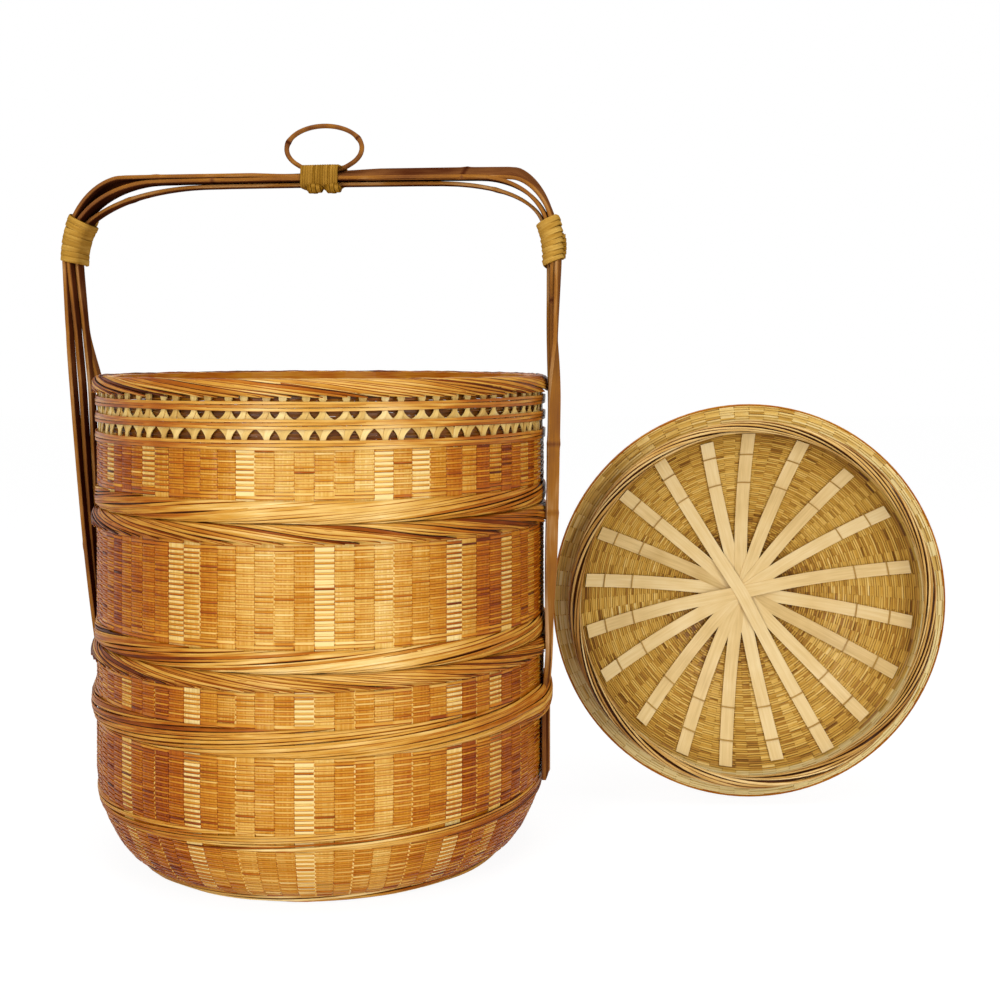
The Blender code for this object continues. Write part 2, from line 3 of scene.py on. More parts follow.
import bmesh
import bpy
import numpy as np
from mathutils import Matrix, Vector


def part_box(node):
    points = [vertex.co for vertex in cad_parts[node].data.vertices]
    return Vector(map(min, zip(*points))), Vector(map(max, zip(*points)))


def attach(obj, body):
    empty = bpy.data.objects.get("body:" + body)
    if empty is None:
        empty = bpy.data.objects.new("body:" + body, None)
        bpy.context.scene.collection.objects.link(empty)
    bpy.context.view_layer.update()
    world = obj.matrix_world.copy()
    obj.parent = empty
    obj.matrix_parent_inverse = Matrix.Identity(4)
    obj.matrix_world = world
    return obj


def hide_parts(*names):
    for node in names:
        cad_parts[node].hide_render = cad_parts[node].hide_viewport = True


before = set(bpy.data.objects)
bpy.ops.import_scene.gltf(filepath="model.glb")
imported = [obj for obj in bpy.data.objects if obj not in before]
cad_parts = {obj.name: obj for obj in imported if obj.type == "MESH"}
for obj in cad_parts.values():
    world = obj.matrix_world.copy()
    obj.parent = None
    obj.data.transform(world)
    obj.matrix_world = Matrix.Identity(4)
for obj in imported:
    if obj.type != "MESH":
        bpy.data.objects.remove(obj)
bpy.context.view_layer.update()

# Bottom basket's stakes. Eighty flat bamboo strips stand side by side round the wall, turn in at
# the foot and run on under the floor. They are split by hand, so each has its own shade, and some
# show the pale inside of the cane.
STAKES = 80
STAKE_ANGLE = math.tau / STAKES
STAKE_W = 0.0110
STAKE_T = 0.0006
STAKE_OUT = -0.0009
STAKE_SWING = 0.00030  # a stake bows out before a weaver that passes behind it
PLAIN, LONG = 2, 4  # a weaver passes behind every second stake, or every fourth
WALL_R = 0.1462
# The front faces the camera and lamps, where the painted light is palest. The stripes' angles, in
# degrees, are where two painted highlight stripes lie.
FRONT = math.radians(-83)
HIGHLIGHT_STRIPES, HIGHLIGHT_W = (-96, -70), 4.5  # degrees
chance = np.random.default_rng(11)


class Shade:
    """An output in a material, which is added, multiplied and compared like a number."""

    def __init__(self, socket):
        self.socket = socket

    def node(self, kind, settings, values, output=0):
        made = self.socket.id_data.nodes.new("ShaderNode" + kind)
        for name, value in settings.items():
            if name == "stops":
                for _ in value[2:]:
                    made.color_ramp.elements.new(1)
                for element, (place, colour) in zip(made.color_ramp.elements, value):
                    element.position, element.color = place, colour
            else:
                setattr(made, name, value)
        for name, value in values.items():
            if isinstance(value, Shade):
                self.socket.id_data.links.new(value.socket, made.inputs[name])
            else:
                made.inputs[name].default_value = value
        return Shade(made.outputs[output])

    def math(self, operation, first, second=0.0):
        return self.node("Math", {"operation": operation}, {0: first, 1: second})

    def __add__(self, other):
        return self.math("ADD", self, other)

    def __sub__(self, other):
        return self.math("SUBTRACT", self, other)

    def __rsub__(self, other):
        return self.math("SUBTRACT", other, self)

    def __mul__(self, other):
        return self.math("MULTIPLY", self, other)

    def __gt__(self, other):
        return self.math("GREATER_THAN", self, other)

    __radd__, __rmul__ = __add__, __mul__


def paint(code):
    """A colour as a painter writes it, such as C08040, in the linear values that Blender uses."""
    shares = [int(code[i : i + 2], 16) / 255 for i in (0, 2, 4)]
    return (*[s / 12.92 if s <= 0.04045 else ((s + 0.055) / 1.055) ** 2.4 for s in shares], 1)


# The second and third of these darken a splint's edge and its inside face: a painted shadow and
# painted shade.
PATCHY, SEAM_SHADOW, LINING_SHADE = 0.42, 0.36, 0.22  # how far each of these shifts a shade
FIBRE_GLOSS = 0.18  # how much the fibres differ in gloss


def bamboo(name, tones, gloss=0.42, fibre=0.20, edge=None, seam_shadow=None, lining_shade=None, own_tone=True,
           mirror=0.08, varnish=0.14, paler=0.22):
    """Varnished bamboo. Its shade runs through the tones, with fibres along each splint. Its cut
    edges are paler. Beside the next splint one edge is painted darker, a painted shadow, and
    the inside face is painted darker too, as painted shade."""
    material = bpy.data.materials.new(name)
    material.use_nodes = True
    shader = material.node_tree.nodes["Principled BSDF"]
    start = Shade(shader.outputs[0])
    if own_tone:
        laid = start.node("Attribute", {"attribute_name": "laid"}, {}, "Vector")
        tone = start.node("Attribute", {"attribute_name": "tone"}, {}, "Fac")
        stretch = (45, 900, 900)
    else:
        laid = start.node("TexCoord", {}, {}, "Object")
        tone = 0.5
        stretch = (60, 60, 1100)
    drawn = start.node("VectorMath", {"operation": "MULTIPLY"}, {0: laid, 1: stretch})
    fibres = start.node("TexNoise", {}, {"Vector": drawn, "Scale": 1.0, "Detail": 3.0})
    patches = start.node("TexNoise", {}, {"Vector": laid, "Scale": 35.0, "Detail": 2.0})
    shade = tone + (fibres - 0.5) * fibre * 2 + (patches - 0.5) * PATCHY
    across, deep = (start.node("SeparateXYZ", {}, {0: laid}, axis) for axis in "YZ")
    if edge:
        shade = shade + (start.math("ABSOLUTE", across) > edge) * paler
    # painted shadow: darker along the edge that lies beside the next splint
    if seam_shadow:
        shade = shade - ((0 - across) > seam_shadow) * SEAM_SHADOW
    # painted shade: the inside face is drawn darker
    if lining_shade:
        shade = shade - ((0 - deep) > lining_shade) * LINING_SHADE
    stops = [(place, paint(code)) for place, code in tones]
    colour = start.node("ValToRGB", {"stops": stops}, {"Fac": shade})
    links = material.node_tree.links
    links.new(colour.socket, shader.inputs["Base Color"])
    dull = fibres * FIBRE_GLOSS + (gloss - FIBRE_GLOSS / 2)
    links.new(dull.socket, shader.inputs["Roughness"])
    relief = start.node("Bump", {}, {"Strength": 0.35, "Distance": 0.0002, "Height": fibres})
    links.new(relief.socket, shader.inputs["Normal"])
    shader.inputs["Specular IOR Level"].default_value = mirror
    shader.inputs["Coat Weight"].default_value = varnish
    shader.inputs["Coat Roughness"].default_value = 0.20
    return material


def splint(width, thickness, cuts, soft=0.0):
    """A straight splint, 1 long along X, its skin upwards and its long edges softened."""
    bm = bmesh.new()
    bmesh.ops.create_cube(bm, size=1, matrix=Matrix.Diagonal((1, width, thickness, 1)))

    def long_edges():
        return [e for e in bm.edges if abs(e.verts[0].co.x - e.verts[1].co.x) > 0.5]

    if soft:
        bmesh.ops.bevel(bm, geom=long_edges(), offset=soft, segments=1, profile=0.5,
                        affect="EDGES", material=-1)
    bmesh.ops.subdivide_edges(bm, edges=long_edges(), cuts=cuts)
    return bm


def settle(name, mesh, finish, body, crease):
    """Makes a mesh a piece on its body, its corners sharp where they turn by the crease."""
    mesh.shade_smooth()
    mesh.set_sharp_from_angle(angle=math.radians(crease))
    mesh.materials.append(finish)
    piece = bpy.data.objects.new(name, mesh)
    bpy.context.scene.collection.objects.link(piece)
    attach(piece, body)
    return piece


def lay(name, straight, count, place, finish, body, nodes, measure):
    """Lays copies of a straight splint where place puts them, each with its own shade. The
    measure is a copy's real size where the straight splint is drawn to a size of 1."""
    pattern = bpy.data.meshes.new(name)
    straight.to_mesh(pattern)
    straight.free()
    whole = bmesh.new()
    for _ in range(count):
        whole.from_mesh(pattern)
    whole.verts.ensure_lookup_table()
    flat = np.array([v.co for v in whole.verts]).reshape(count, -1, 3)
    number = np.arange(count)[:, None]
    points, tone = place(number, *np.moveaxis(flat, 2, 0))
    for vert, point in zip(whole.verts, points.reshape(-1, 3)):
        vert.co = point
    bmesh.ops.recalc_face_normals(whole, faces=whole.faces)
    mesh = bpy.data.meshes.new(name)
    whole.to_mesh(mesh)
    whole.free()
    along = flat * measure + np.stack((number * 0.37, 0 * number, number * 0.11), axis=-1)
    laid = mesh.attributes.new("laid", "FLOAT_VECTOR", "POINT")
    laid.data.foreach_set("vector", along.ravel())
    shades = mesh.attributes.new("tone", "FLOAT", "POINT")
    shades.data.foreach_set("value", np.broadcast_to(tone, flat.shape[:2]).ravel())
    piece = settle(name, mesh, finish, body, 62)
    if nodes:
        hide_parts(*nodes)


def around(angle, r, z):
    """Points round the basket, by angle, radius and height."""
    return np.stack(np.broadcast_arrays(r * np.cos(angle), r * np.sin(angle), z), axis=-1)


def paced(points):
    """The distance along a line at each of its points, and its direction there."""
    steps = np.linalg.norm(np.diff(points, axis=0), axis=1)
    at = np.concatenate(([0], np.cumsum(steps)))
    ahead = np.gradient(points, at, axis=0)
    return at, ahead / np.linalg.norm(ahead, axis=1)[:, None]


class Course:
    """A wall's outline as (radius, height), measured by the distance along it."""

    def __init__(self, *points):
        self.line = np.array(points)
        self.at, ahead = paced(self.line)
        self.facing = np.stack((ahead[:, 1], -ahead[:, 0]), axis=1)
        self.length = self.at[-1]

    def to(self, height):
        return float(np.interp(height, self.line[:, 1], self.at))

    def radius(self, along):
        return np.interp(along, self.at, self.line[:, 0])

    def place(self, angle, along, out):
        r = self.radius(along) + out * np.interp(along, self.at, self.facing[:, 0])
        z = np.interp(along, self.at, self.line[:, 1])
        return around(angle, r, z + out * np.interp(along, self.at, self.facing[:, 1]))


def angle_to(angle, other):
    return np.angle(np.exp(1j * (angle - other)))


def eased(share):
    return share * share * (3 - 2 * share)


def painted_front_light(angle):
    """Painted light: how much paler a part is drawn, most at its front, which faces the camera
    and lamps, some at its back, and in two narrow painted highlight stripes where the varnish
    shines."""
    away = np.degrees(np.abs(angle_to(angle, FRONT)))
    stripes = (np.degrees(angle_to(angle, math.radians(at))) for at in HIGHLIGHT_STRIPES)
    sheen = sum(np.exp(-((off / HIGHLIGHT_W) ** 2)) for off in stripes)
    back = np.clip((away - 140) / 40, 0, 1)
    return eased(np.clip((47 - away) / 37, 0, 1)) + 0.6 * back + 0.22 * sheen


def rows_of(bands):
    """Rows of weavers along a course, from bands of low end, high end, pitch and pattern. A row
    is its middle, its pitch and its pattern."""
    rows = []
    for low, high, pitch, every in bands:
        count = max(1, round((high - low) / pitch))
        rows += [(low + (i + 0.5) * (high - low) / count, (high - low) / count, every)
                 for i in range(count)]
    return np.array(rows)


def rows_up(course, bands):
    """Rows of weavers up a wall, from bands given by their heights."""
    return rows_of((course.to(low), course.to(high), *rest) for low, high, *rest in bands)


def stake_shades(pale):
    """A shade for each stake of a tier. The stakes named in pale show their light inside."""
    shades = chance.choice([0.30, 0.39, 0.48, 0.62], STAKES, p=[0.26, 0.34, 0.24, 0.16])
    shades += chance.normal(0, 0.04, STAKES)
    shades[list(pale)] = 0.80
    return shades


weave_tones = (
    (0.0, "481800"), (0.2, "7E3000"), (0.4, "A95804"), (0.6, "C28220"), (0.8, "D8AC56"),
    (1.0, "EBD08C"),
)
stake_finish = bamboo("varnished_stakes", weave_tones)


def stakes(name, course, ends, rows, shades, body, nodes=(), at=None, width=STAKE_W,
           swing=STAKE_SWING, painted_light=0.30):
    """Stakes up a course, bowed by the rows of weavers, side by side or at the places given."""
    at = np.arange(len(shades)) + 0.5 if at is None else np.array(at)
    between = (rows[1:, 0] + rows[:-1, 0]) / 2
    knots = np.sort(np.concatenate((np.linspace(*ends, 8), rows[:, 0], between)))
    knots = knots[(knots >= ends[0]) & (knots <= ends[1])]

    def place(k, x, y, z):
        along = np.interp(x + 0.5, np.linspace(0, 1, len(knots)), knots)
        beat = np.interp(along, rows[:, 0], np.arange(len(rows)))
        plain = np.interp(along, rows[:, 0], rows[:, 2] == PLAIN)
        out = STAKE_OUT + swing * plain * np.cos(math.pi * (np.floor(at)[k] + beat))
        angle = at[k] * STAKE_ANGLE - y / WALL_R
        # paler toward the front and in two stripes: painted light and painted highlight
        return course.place(angle, along, out + z), shades[k] + painted_light * painted_front_light(angle)

    lay(name, splint(width, STAKE_T, len(knots) - 2), len(shades), place, stake_finish, body,
        nodes, (ends[1] - ends[0], 1, 1))


def thin_stakes(name, course, ends, rows, body, at):
    """A few pale slivers of cane, each in the joint between two stakes."""
    stakes(name, course, ends, rows, np.full(len(at), 0.72), body, at=at, width=0.0010,
           swing=0.0006, painted_light=0.1)


ROW_PITCH = 0.00146
LONG_PITCH = 0.0023
base_wall = Course(
    (0.1165, 0.0034), (0.1215, 0.0044), (0.1282, 0.0090), (0.1342, 0.0172), (0.1399, 0.0288),
    (0.1437, 0.0386), (0.1452, 0.0480), (WALL_R, 0.0600), (WALL_R, 0.1312),
)
base_rows = rows_up(base_wall, (
    (0.0042, 0.0386, ROW_PITCH, PLAIN), (0.0471, 0.0870, ROW_PITCH, PLAIN),
    (0.0870, 0.0912, LONG_PITCH, LONG), (0.1080, 0.1108, LONG_PITCH, LONG),
    (0.1108, 0.1265, ROW_PITCH, PLAIN), (0.1265, 0.1312, LONG_PITCH, LONG),
))
base_ends = (0, base_wall.length)
base_shades = stake_shades((60, 54, 68, 71, 49, 20, 33))
stakes("base_stakes", base_wall, base_ends, base_rows, base_shades, "basket", ("base_shell",),
       painted_light=0.26)
thin_stakes("base_thin_stakes", base_wall, base_ends, base_rows, "basket",
            (57, 61, 66, 70, 52, 63, 74, 12))

# Bottom basket's weavers. Thin splints pass over one stake and under the next, row on row. Where
# a band or a rim begins they are wider and pass over three. Each row ends beside its own start.
WEAVER_T = 0.0005
WEAVER_SHARE = 0.78  # of a row's pitch that its weaver is wide
OVER = -0.00030
UNDER = -0.00150
BEND = 0.09  # of a stake's width, where a weaver starts to turn in
SPIRAL = 0.0001  # how much further out a weaver ends than it starts
weaver_finish = bamboo("varnished_weavers", weave_tones, seam_shadow=ROW_PITCH * WEAVER_SHARE * 0.26)


def crossing(x, first, cells):
    """The stake that each point of a row crosses, and the point's angle."""
    phase = (x + 0.5) * (cells + 2) + 0.25
    cell = np.floor(phase)
    share = np.where(phase - cell < 0.5, BEND, 1 - BEND)
    return (cell + first).astype(int) % cells, (cell + first + share) * math.tau / cells


def weavers(name, course, rows, body, cells=STAKES, painted_light=0.30):
    """Rows of weavers round a course, each behind every second or every fourth stake."""
    middle, spacing, every = rows.T[:, :, None]
    count = len(rows)
    number = np.arange(count)[:, None]
    shift = np.where(every == PLAIN, number, 3 * number)
    first = chance.integers(0, cells, (count, 1)) + 10 * cells
    row_tone = chance.normal(0.42, 0.05, (count, 1))
    dash_tone = chance.normal(0, 0.06, (count, cells))
    dash_tone -= 0.24 * (chance.random((count, cells)) < 0.07)
    dash_out = chance.normal(0, 0.00006, (count, cells))
    dash_up = chance.normal(0, 0.05, (count, cells))

    def place(k, x, y, z):
        row, k = k, k[:, 0]
        stake, angle = crossing(x, first[k], cells)
        under = (stake + shift[k]) % every[k] == 0
        out = np.where(under, UNDER, OVER) + dash_out[row, stake] + z + x * SPIRAL
        along = middle[k] + (y * WEAVER_SHARE + dash_up[row, stake]) * spacing[k]
        # paler toward the front and in two stripes: painted light and painted highlight
        tone = row_tone[k] + dash_tone[row, stake] + painted_light * painted_front_light(angle)
        # where a weaver dips behind a stake it is drawn darker: painted shade in the recess
        return course.place(angle, along, out), tone - 0.16 * under

    lay(name, splint(1, WEAVER_T, 2 * cells + 3), count, place, weaver_finish, body,
        (), (math.tau * WALL_R, WEAVER_SHARE * ROW_PITCH, 1))


weavers("base_weavers", base_wall, base_rows, "basket", painted_light=0.25)


# Basket floors. The stakes cross the floor as twenty wide splints, with coarser rows woven over
# them. The floor splints below and inside stay as they were made, in pale varnished bamboo.
FLOOR_SPOKES = 40
FLOOR_PITCH = 0.0031
straw_tones = ((0.0, "8E6A30"), (0.3, "B8924E"), (0.6, "D8B878"), (1.0, "F0DCA4"))
splint_finish = bamboo("pale_floor_splints", straw_tones, own_tone=False)


def refinish(node, finish):
    """Finishes a node that stays as it was made."""
    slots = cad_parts[node].data.materials
    slots.clear()
    slots.append(finish)


def woven_floor(name, height, reach, body):
    """Coarse rows round a floor, and the wide spokes that they pass over and under."""
    course = Course((0.014, height), (reach, height))

    def spoke(k, x, y, z):
        angle = (k + 0.5) * math.tau / FLOOR_SPOKES + y * math.tau / FLOOR_SPOKES
        points = course.place(angle, (x + 0.5) * course.length, z + STAKE_OUT)
        return points, 0.45 + 0.2 * np.sin(k * 2.4)

    lay(name + "_spokes", splint(0.98, STAKE_T, 6), FLOOR_SPOKES, spoke, stake_finish, body,
        (), (reach, 0.009, 1))
    rows = rows_of(((0, course.length, FLOOR_PITCH, PLAIN),))
    weavers(name + "_rows", course, rows, body, cells=FLOOR_SPOKES, painted_light=0.2)


woven_floor("base_floor", 0.0031, 0.1165, "basket")
for node in ("base_bottom_splints", "middle_floor_splints", "top_floor_splints"):
    refinish(node, splint_finish)

# Bands and rims of long splints. On a rim the splints lean over a core of bent stakes, from
# inside its top to its foot, each tucked in beside the next. On a band they climb gently.
LONG_W = 0.0018
LONG_T, LONG_SOFT = 0.0010, 0.00028
LONG_IN, TUCK = 0.0004, 0.0010  # how deep a splint lies, and how much deeper at its ends
long_tones = (
    (0.0, "341000"), (0.2, "702E02"), (0.42, "A45A10"), (0.62, "C69038"), (0.82, "DCB468"),
    (1.0, "EFD698"),
)
long_finish = bamboo("varnished_long_splints", long_tones, fibre=0.22, seam_shadow=LONG_W * 0.26,
                     mirror=0.04, varnish=0.08)
# The cores are drawn near black: painted shade in the gaps between splints.
shade_core_tones = ((0.0, "220C02"), (0.5, "42200A"), (1.0, "66360F"))
shade_core_finish = bamboo("painted_shade_cores", shade_core_tones, own_tone=False)
hoop_finish = bamboo("bent_hoops", weave_tones, own_tone=False)


def core(name, body, nodes, *outline, stand=None, finish=shade_core_finish):
    """A ring inside a rim or a band, drawn near black so that it shows between its splints as
    painted shade.
    """
    bm = bmesh.new()
    line = [bm.verts.new((r, 0, z)) for r, z in outline]
    edges = [bm.edges.new(pair) for pair in zip(line, line[1:] + line[:1])]
    bmesh.ops.spin(bm, geom=line + edges, axis=(0, 0, 1), cent=(0, 0, 0), angle=math.tau,
                   steps=120, use_merge=True)
    bmesh.ops.remove_doubles(bm, verts=bm.verts, dist=0.00001)
    if stand is not None:
        for vert in bm.verts:
            vert.co = stand(np.array(vert.co))
    bmesh.ops.recalc_face_normals(bm, faces=bm.faces)
    mesh = bpy.data.meshes.new(name)
    bm.to_mesh(mesh)
    bm.free()
    ring = settle(name, mesh, finish, body, 40)
    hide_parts(*nodes)


def long_splints(name, course, count, sweep, body, nodes=(), width=LONG_W, bulge=None,
                 finish=long_finish, tint=0.0, painted_light=0.26, stand=None, lift=0.00014, dark=0.09):
    """Long splints laid slantwise along a band, each round part of the ring."""
    start = np.arange(count)[:, None] * math.tau / count + chance.normal(0, 0.02, (count, 1))
    broad = chance.uniform(0.70, 1.35, (count, 1))
    raise_by = chance.normal(0, lift, (count, 1))
    bow = chance.normal(0, 0.0004, (count, 1))
    shade = chance.normal(0.48 + tint, 0.08, (count, 1))
    shade -= 0.28 * (chance.random((count, 1)) < dark)

    def place(k, x, y, z):
        k = k[:, 0]
        share = x + 0.5
        angle = start[k] + share * sweep
        ends = np.clip((np.abs(x) - 0.38) / 0.12, 0, 1) ** 2
        across = y * broad[k] * (1 - 0.35 * ends)
        along = share * course.length + across + bow[k] * np.sin(share * 9 + k[:, None])
        along = np.clip(along, 0, course.length)
        out = z - LONG_IN - TUCK * ends + raise_by[k] + y * 0.20
        if bulge is not None:
            out = out + bulge(angle)
        points = course.place(angle, along, out)
        # paler toward the front and in two stripes: painted light and painted highlight
        return (points if stand is None else stand(points)), shade[k] + painted_light * painted_front_light(angle)

    lay(name, splint(width, LONG_T, 34, LONG_SOFT), count, place, finish, body,
        nodes, (sweep * course.line[0, 0], LONG_W / width, 1))


RIM_R = 0.1486


def rim(tier, top, height, body):
    """A tier's rolled rim, its splints leaning down to the right."""
    low = top - height
    course = Course(
        (0.1412, top - 0.0018), (0.1420, top - 0.0005), (0.1442, top), (0.1466, top - 0.0007),
        (RIM_R - 0.0004, top - 0.0028), (RIM_R, top - 0.0050), (RIM_R, low + 0.0020),
        (RIM_R - 0.0010, low),
    )
    core(
        tier + "_rim_core", body, (tier + "_border",), (0.1416, top - 0.0012),
        (0.1460, top - 0.0016), (0.1472, top - 0.0040), (0.1472, low + 0.0008), (0.1416, low),
    )
    long_splints(tier + "_rim_splints", course, 92, math.radians(50), body, painted_light=0.17)
    refinish(tier + "_inner_hoop", hoop_finish)


rim("base", 0.1387, 0.0080, "basket")

# Foot ring. Thin splints are twisted together round the foot, and the last rows of the weaving
# tie them there. They are a little paler than the wall.
foot_course = Course(
    (0.1176, 0.0001), (0.1193, 0.0009), (0.1200, 0.0029), (0.1196, 0.0053), (0.1178, 0.0070),
)
core("foot_ring_core", "basket", ("base_foot_ring",), (0.1140, 0.0003), (0.1174, 0.0006),
     (0.1188, 0.0030), (0.1174, 0.0062), (0.1140, 0.0062))
long_splints("foot_ring_splints", foot_course, 14, math.radians(120), "basket", width=0.0020,
             tint=0.14, painted_light=0.20)

# Waist band and lower band. Long splints twined round the bottom basket. The upper band binds
# both legs of the handle to the wall, and the lower one stiffens the turn to the foot.
HANDLE_YAW = math.radians(-8)
LEG_LIFT = 0.0030


def over_the_legs(angle):
    """How far the waist band stands out where it passes over the handle's legs."""
    away = np.minimum(*(np.abs(angle_to(angle - HANDLE_YAW, leg)) for leg in (0, math.pi)))
    return LEG_LIFT * np.clip((math.radians(19) - away) / math.radians(9), 0, 1)


waist_course = Course(
    (0.1462, 0.0910), (0.1478, 0.0928), (0.1488, 0.0958), (0.1491, 0.0995), (0.1487, 0.1035),
    (0.1478, 0.1066), (0.1462, 0.1086),
)
long_splints("waist_splints", waist_course, 32, math.radians(120), "basket", ("waist_band",),
             width=0.0019, bulge=over_the_legs, tint=-0.02, painted_light=0.18)
lower_course = Course(
    (0.1430, 0.0370), (0.1441, 0.0386), (0.1450, 0.0425), (0.1456, 0.0462), (0.1449, 0.0486),
)
long_splints("lower_band_splints", lower_course, 26, math.radians(105), "basket",
             ("base_lower_band",), width=0.0017, tint=-0.04, lift=0.00008)


# Trays. Each is woven as the bottom basket is, necks in at its foot, and drops inside the rim
# below. Its foot is covered with long splints that climb to the right.
NECK_R = 0.1349


def tray(tier, seat, wall_top, top, rim_height, pale, thin, bands):
    """A tray's floor, wall, foot band and rim. Its bands of weavers are given by height."""
    body = tier + "_tray"
    wall = Course(
        (NECK_R - 0.0006, seat - 0.0052), (NECK_R - 0.0006, seat + 0.0040),
        (0.1385, seat + 0.0075), (0.1442, seat + 0.0108), (WALL_R - 0.0003, seat + 0.0132),
        (WALL_R, seat + 0.0150), (WALL_R, wall_top + 0.0030),
    )
    shades = stake_shades(pale)
    rows = rows_up(wall, bands)
    ends = (0, wall.to(wall_top))
    stakes(tier + "_stakes", wall, ends, rows, shades, body, (tier + "_shell",))
    thin_stakes(tier + "_thin_stakes", wall, ends, rows, body, thin)
    weavers(tier + "_weavers", wall, rows, body)
    woven_floor(tier + "_floor", seat - 0.0042, NECK_R - 0.0016, body)
    foot = Course(
        (0.1432, seat + 0.0012), (0.1456, seat + 0.0012), (0.1470, seat + 0.0028),
        (0.1474, seat + 0.0058), (0.1474, seat + 0.0098), (0.1469, seat + 0.0126),
        (0.1460, seat + 0.0144),
    )
    core(
        tier + "_foot_core", body, (tier + "_foot_band",), (0.1362, seat + 0.0008),
        (0.1452, seat + 0.0014), (0.1462, seat + 0.0035), (0.1462, seat + 0.0122),
        (0.1455, seat + 0.0130), (0.1362, seat + 0.0052),
    )
    long_splints(tier + "_foot_splints", foot, 50, math.radians(78), body, painted_light=0.29)
    rim(tier, top, rim_height, body)


tray("middle", 0.1387, 0.2150, 0.2240, 0.0098, (61, 68, 72, 53, 30, 12), (59, 65, 55, 69), (
    (0.1535, 0.1580, LONG_PITCH, LONG), (0.1580, 0.2095, ROW_PITCH, PLAIN),
    (0.2095, 0.2145, LONG_PITCH, LONG),
))
tray("top", 0.2240, 0.2690, 0.3070, 0.0092, (57, 64, 66, 51, 47, 22), (62, 58, 67), (
    (0.2388, 0.2433, LONG_PITCH, LONG), (0.2433, 0.2672, ROW_PITCH, PLAIN),
))

# Openwork under the top rim. Each stake is split in two above the wall. The halves lean apart,
# meet their neighbours' halves behind the middle band, cross, and come together under the rim.
# Rows run round behind them, drawn dark as painted shade.
OPEN_LOW = 0.2668
OPEN_HIGH = 0.2990
LEAN_AT = (0.2726, 0.2748, 0.2769, 0.2792, 0.2843, 0.2860, 0.2878, 0.2896, 0.2950, 0.2960)
LEAN = (0, 0.045, 0.13, 0.27, 0.73, 0.87, 0.955, 1, 1, 1)
HALF_W = (0.27, 0.30, 0.38, 0.50, 0.50, 0.38, 0.30, 0.27, 0.30, 0.40)
open_tones = ((0.0, "70440E"), (0.35, "B48438"), (0.7, "DDBA6C"), (1.0, "F2DA9C"))
pale_open_finish = bamboo("pale_open_stakes", open_tones)
stem = np.arange(STAKES) + 0.5 + 0.083 * (-1.0) ** np.arange(STAKES)


def open_stakes(name, lean, out, node):
    """The halves that lean to one side: 1 for the next stake, -1 for the one before."""

    def place(k, x, y, z):
        height = OPEN_LOW + (x + 0.5) * (OPEN_HIGH - OPEN_LOW)
        share = np.interp(height, LEAN_AT, LEAN)
        there = stem[(k + lean) % STAKES]
        there = np.where(lean * (there - stem[k]) < 0, there + lean * STAKES, there)
        width = np.interp(height, LEAN_AT, HALF_W)
        angle = (stem[k] + (there - stem[k]) * share - y * width) * STAKE_ANGLE
        points = around(angle, WALL_R + out + z, height)
        # paler toward the front and in two stripes: painted light and painted highlight
        return points, 0.62 + 0.12 * np.sin(k * 3.7 + lean) + 0.1 * painted_front_light(angle)

    lay(name, splint(1, STAKE_T, 42), STAKES, place, pale_open_finish, "top_tray",
        (node,), (OPEN_HIGH - OPEN_LOW, 0.004, 1))


INNER_ROWS, INNER_ROWS_R, INNER_ROWS_LOW = 11, 0.1424, 0.2738
ROW_GAPS = (0, 0.0052, 0.0104)  # each four rows start this much higher, past what a band hides
# The rows behind the halves are drawn dark: painted shade.
shaded_row_tones = ((0.0, "3C1C06"), (0.5, "7A4810"), (1.0, "B07C30"))


def inner_rows(k, x, y, z):
    angle = k * 2.1 + x * (math.tau + 0.1)
    wave = 0.0002 * np.sin(angle * 9)
    up = INNER_ROWS_LOW + 0.0016 * k + np.array(ROW_GAPS)[k // 4] + y + wave
    r = INNER_ROWS_R + z + 0.0004 * np.sin(angle * 40 + k * math.pi)
    return around(angle, r, up), 0.34 + 0.12 * np.sin(angle * 7 + k)


lay("openwork_inner_rows", splint(0.0014, WEAVER_T, 240), INNER_ROWS, inner_rows,
    bamboo("shaded_inner_rows", shaded_row_tones), "top_tray", (), (0.9, 1, 1))
open_stakes("openwork_right_halves", 1, -0.0012, "openwork_outer_stakes")
open_stakes("openwork_left_halves", -1, -0.0019, "openwork_inner_stakes")

# Openwork bands. Each is three thin split canes, laid side by side and wrapped round in front of
# the stakes. The end of each cane lies over its own start.
OPEN_BAND_R = 0.1467
open_band_finish = bamboo("openwork_canes", long_tones, gloss=0.36, fibre=0.26, seam_shadow=0.0007)


def open_band(name, low, high, node):
    """The three canes of one band, between two heights."""
    pitch = (high - low) / 3

    def place(k, x, y, z):
        angle = np.radians(95 + 70 * k) + x * (math.tau + 0.2)
        wave = 0.00015 * np.sin(angle * 11 + k * 2)
        up = low + pitch * (k + 0.5 + y * 0.98) + 0.00025 * np.sin(angle * 5 + k * 2)
        points = around(angle, OPEN_BAND_R + wave + z + x * 0.0003, up)
        # paler toward the front and in two stripes: painted light and painted highlight
        return points, 0.44 + 0.07 * np.sin(angle * 3 + k * 4) + 0.22 * painted_front_light(angle)

    lay(name, splint(1, 0.0010, 260), 3, place, open_band_finish, "top_tray",
        (node,), (0.92, 0.0018, 1))


open_band("openwork_lower_splints", 0.2672, 0.2727, "openwork_lower_band")
open_band("openwork_middle_splints", 0.2791, 0.2845, "openwork_middle_band")
open_band("openwork_upper_splints", 0.2894, 0.2948, "openwork_upper_band")

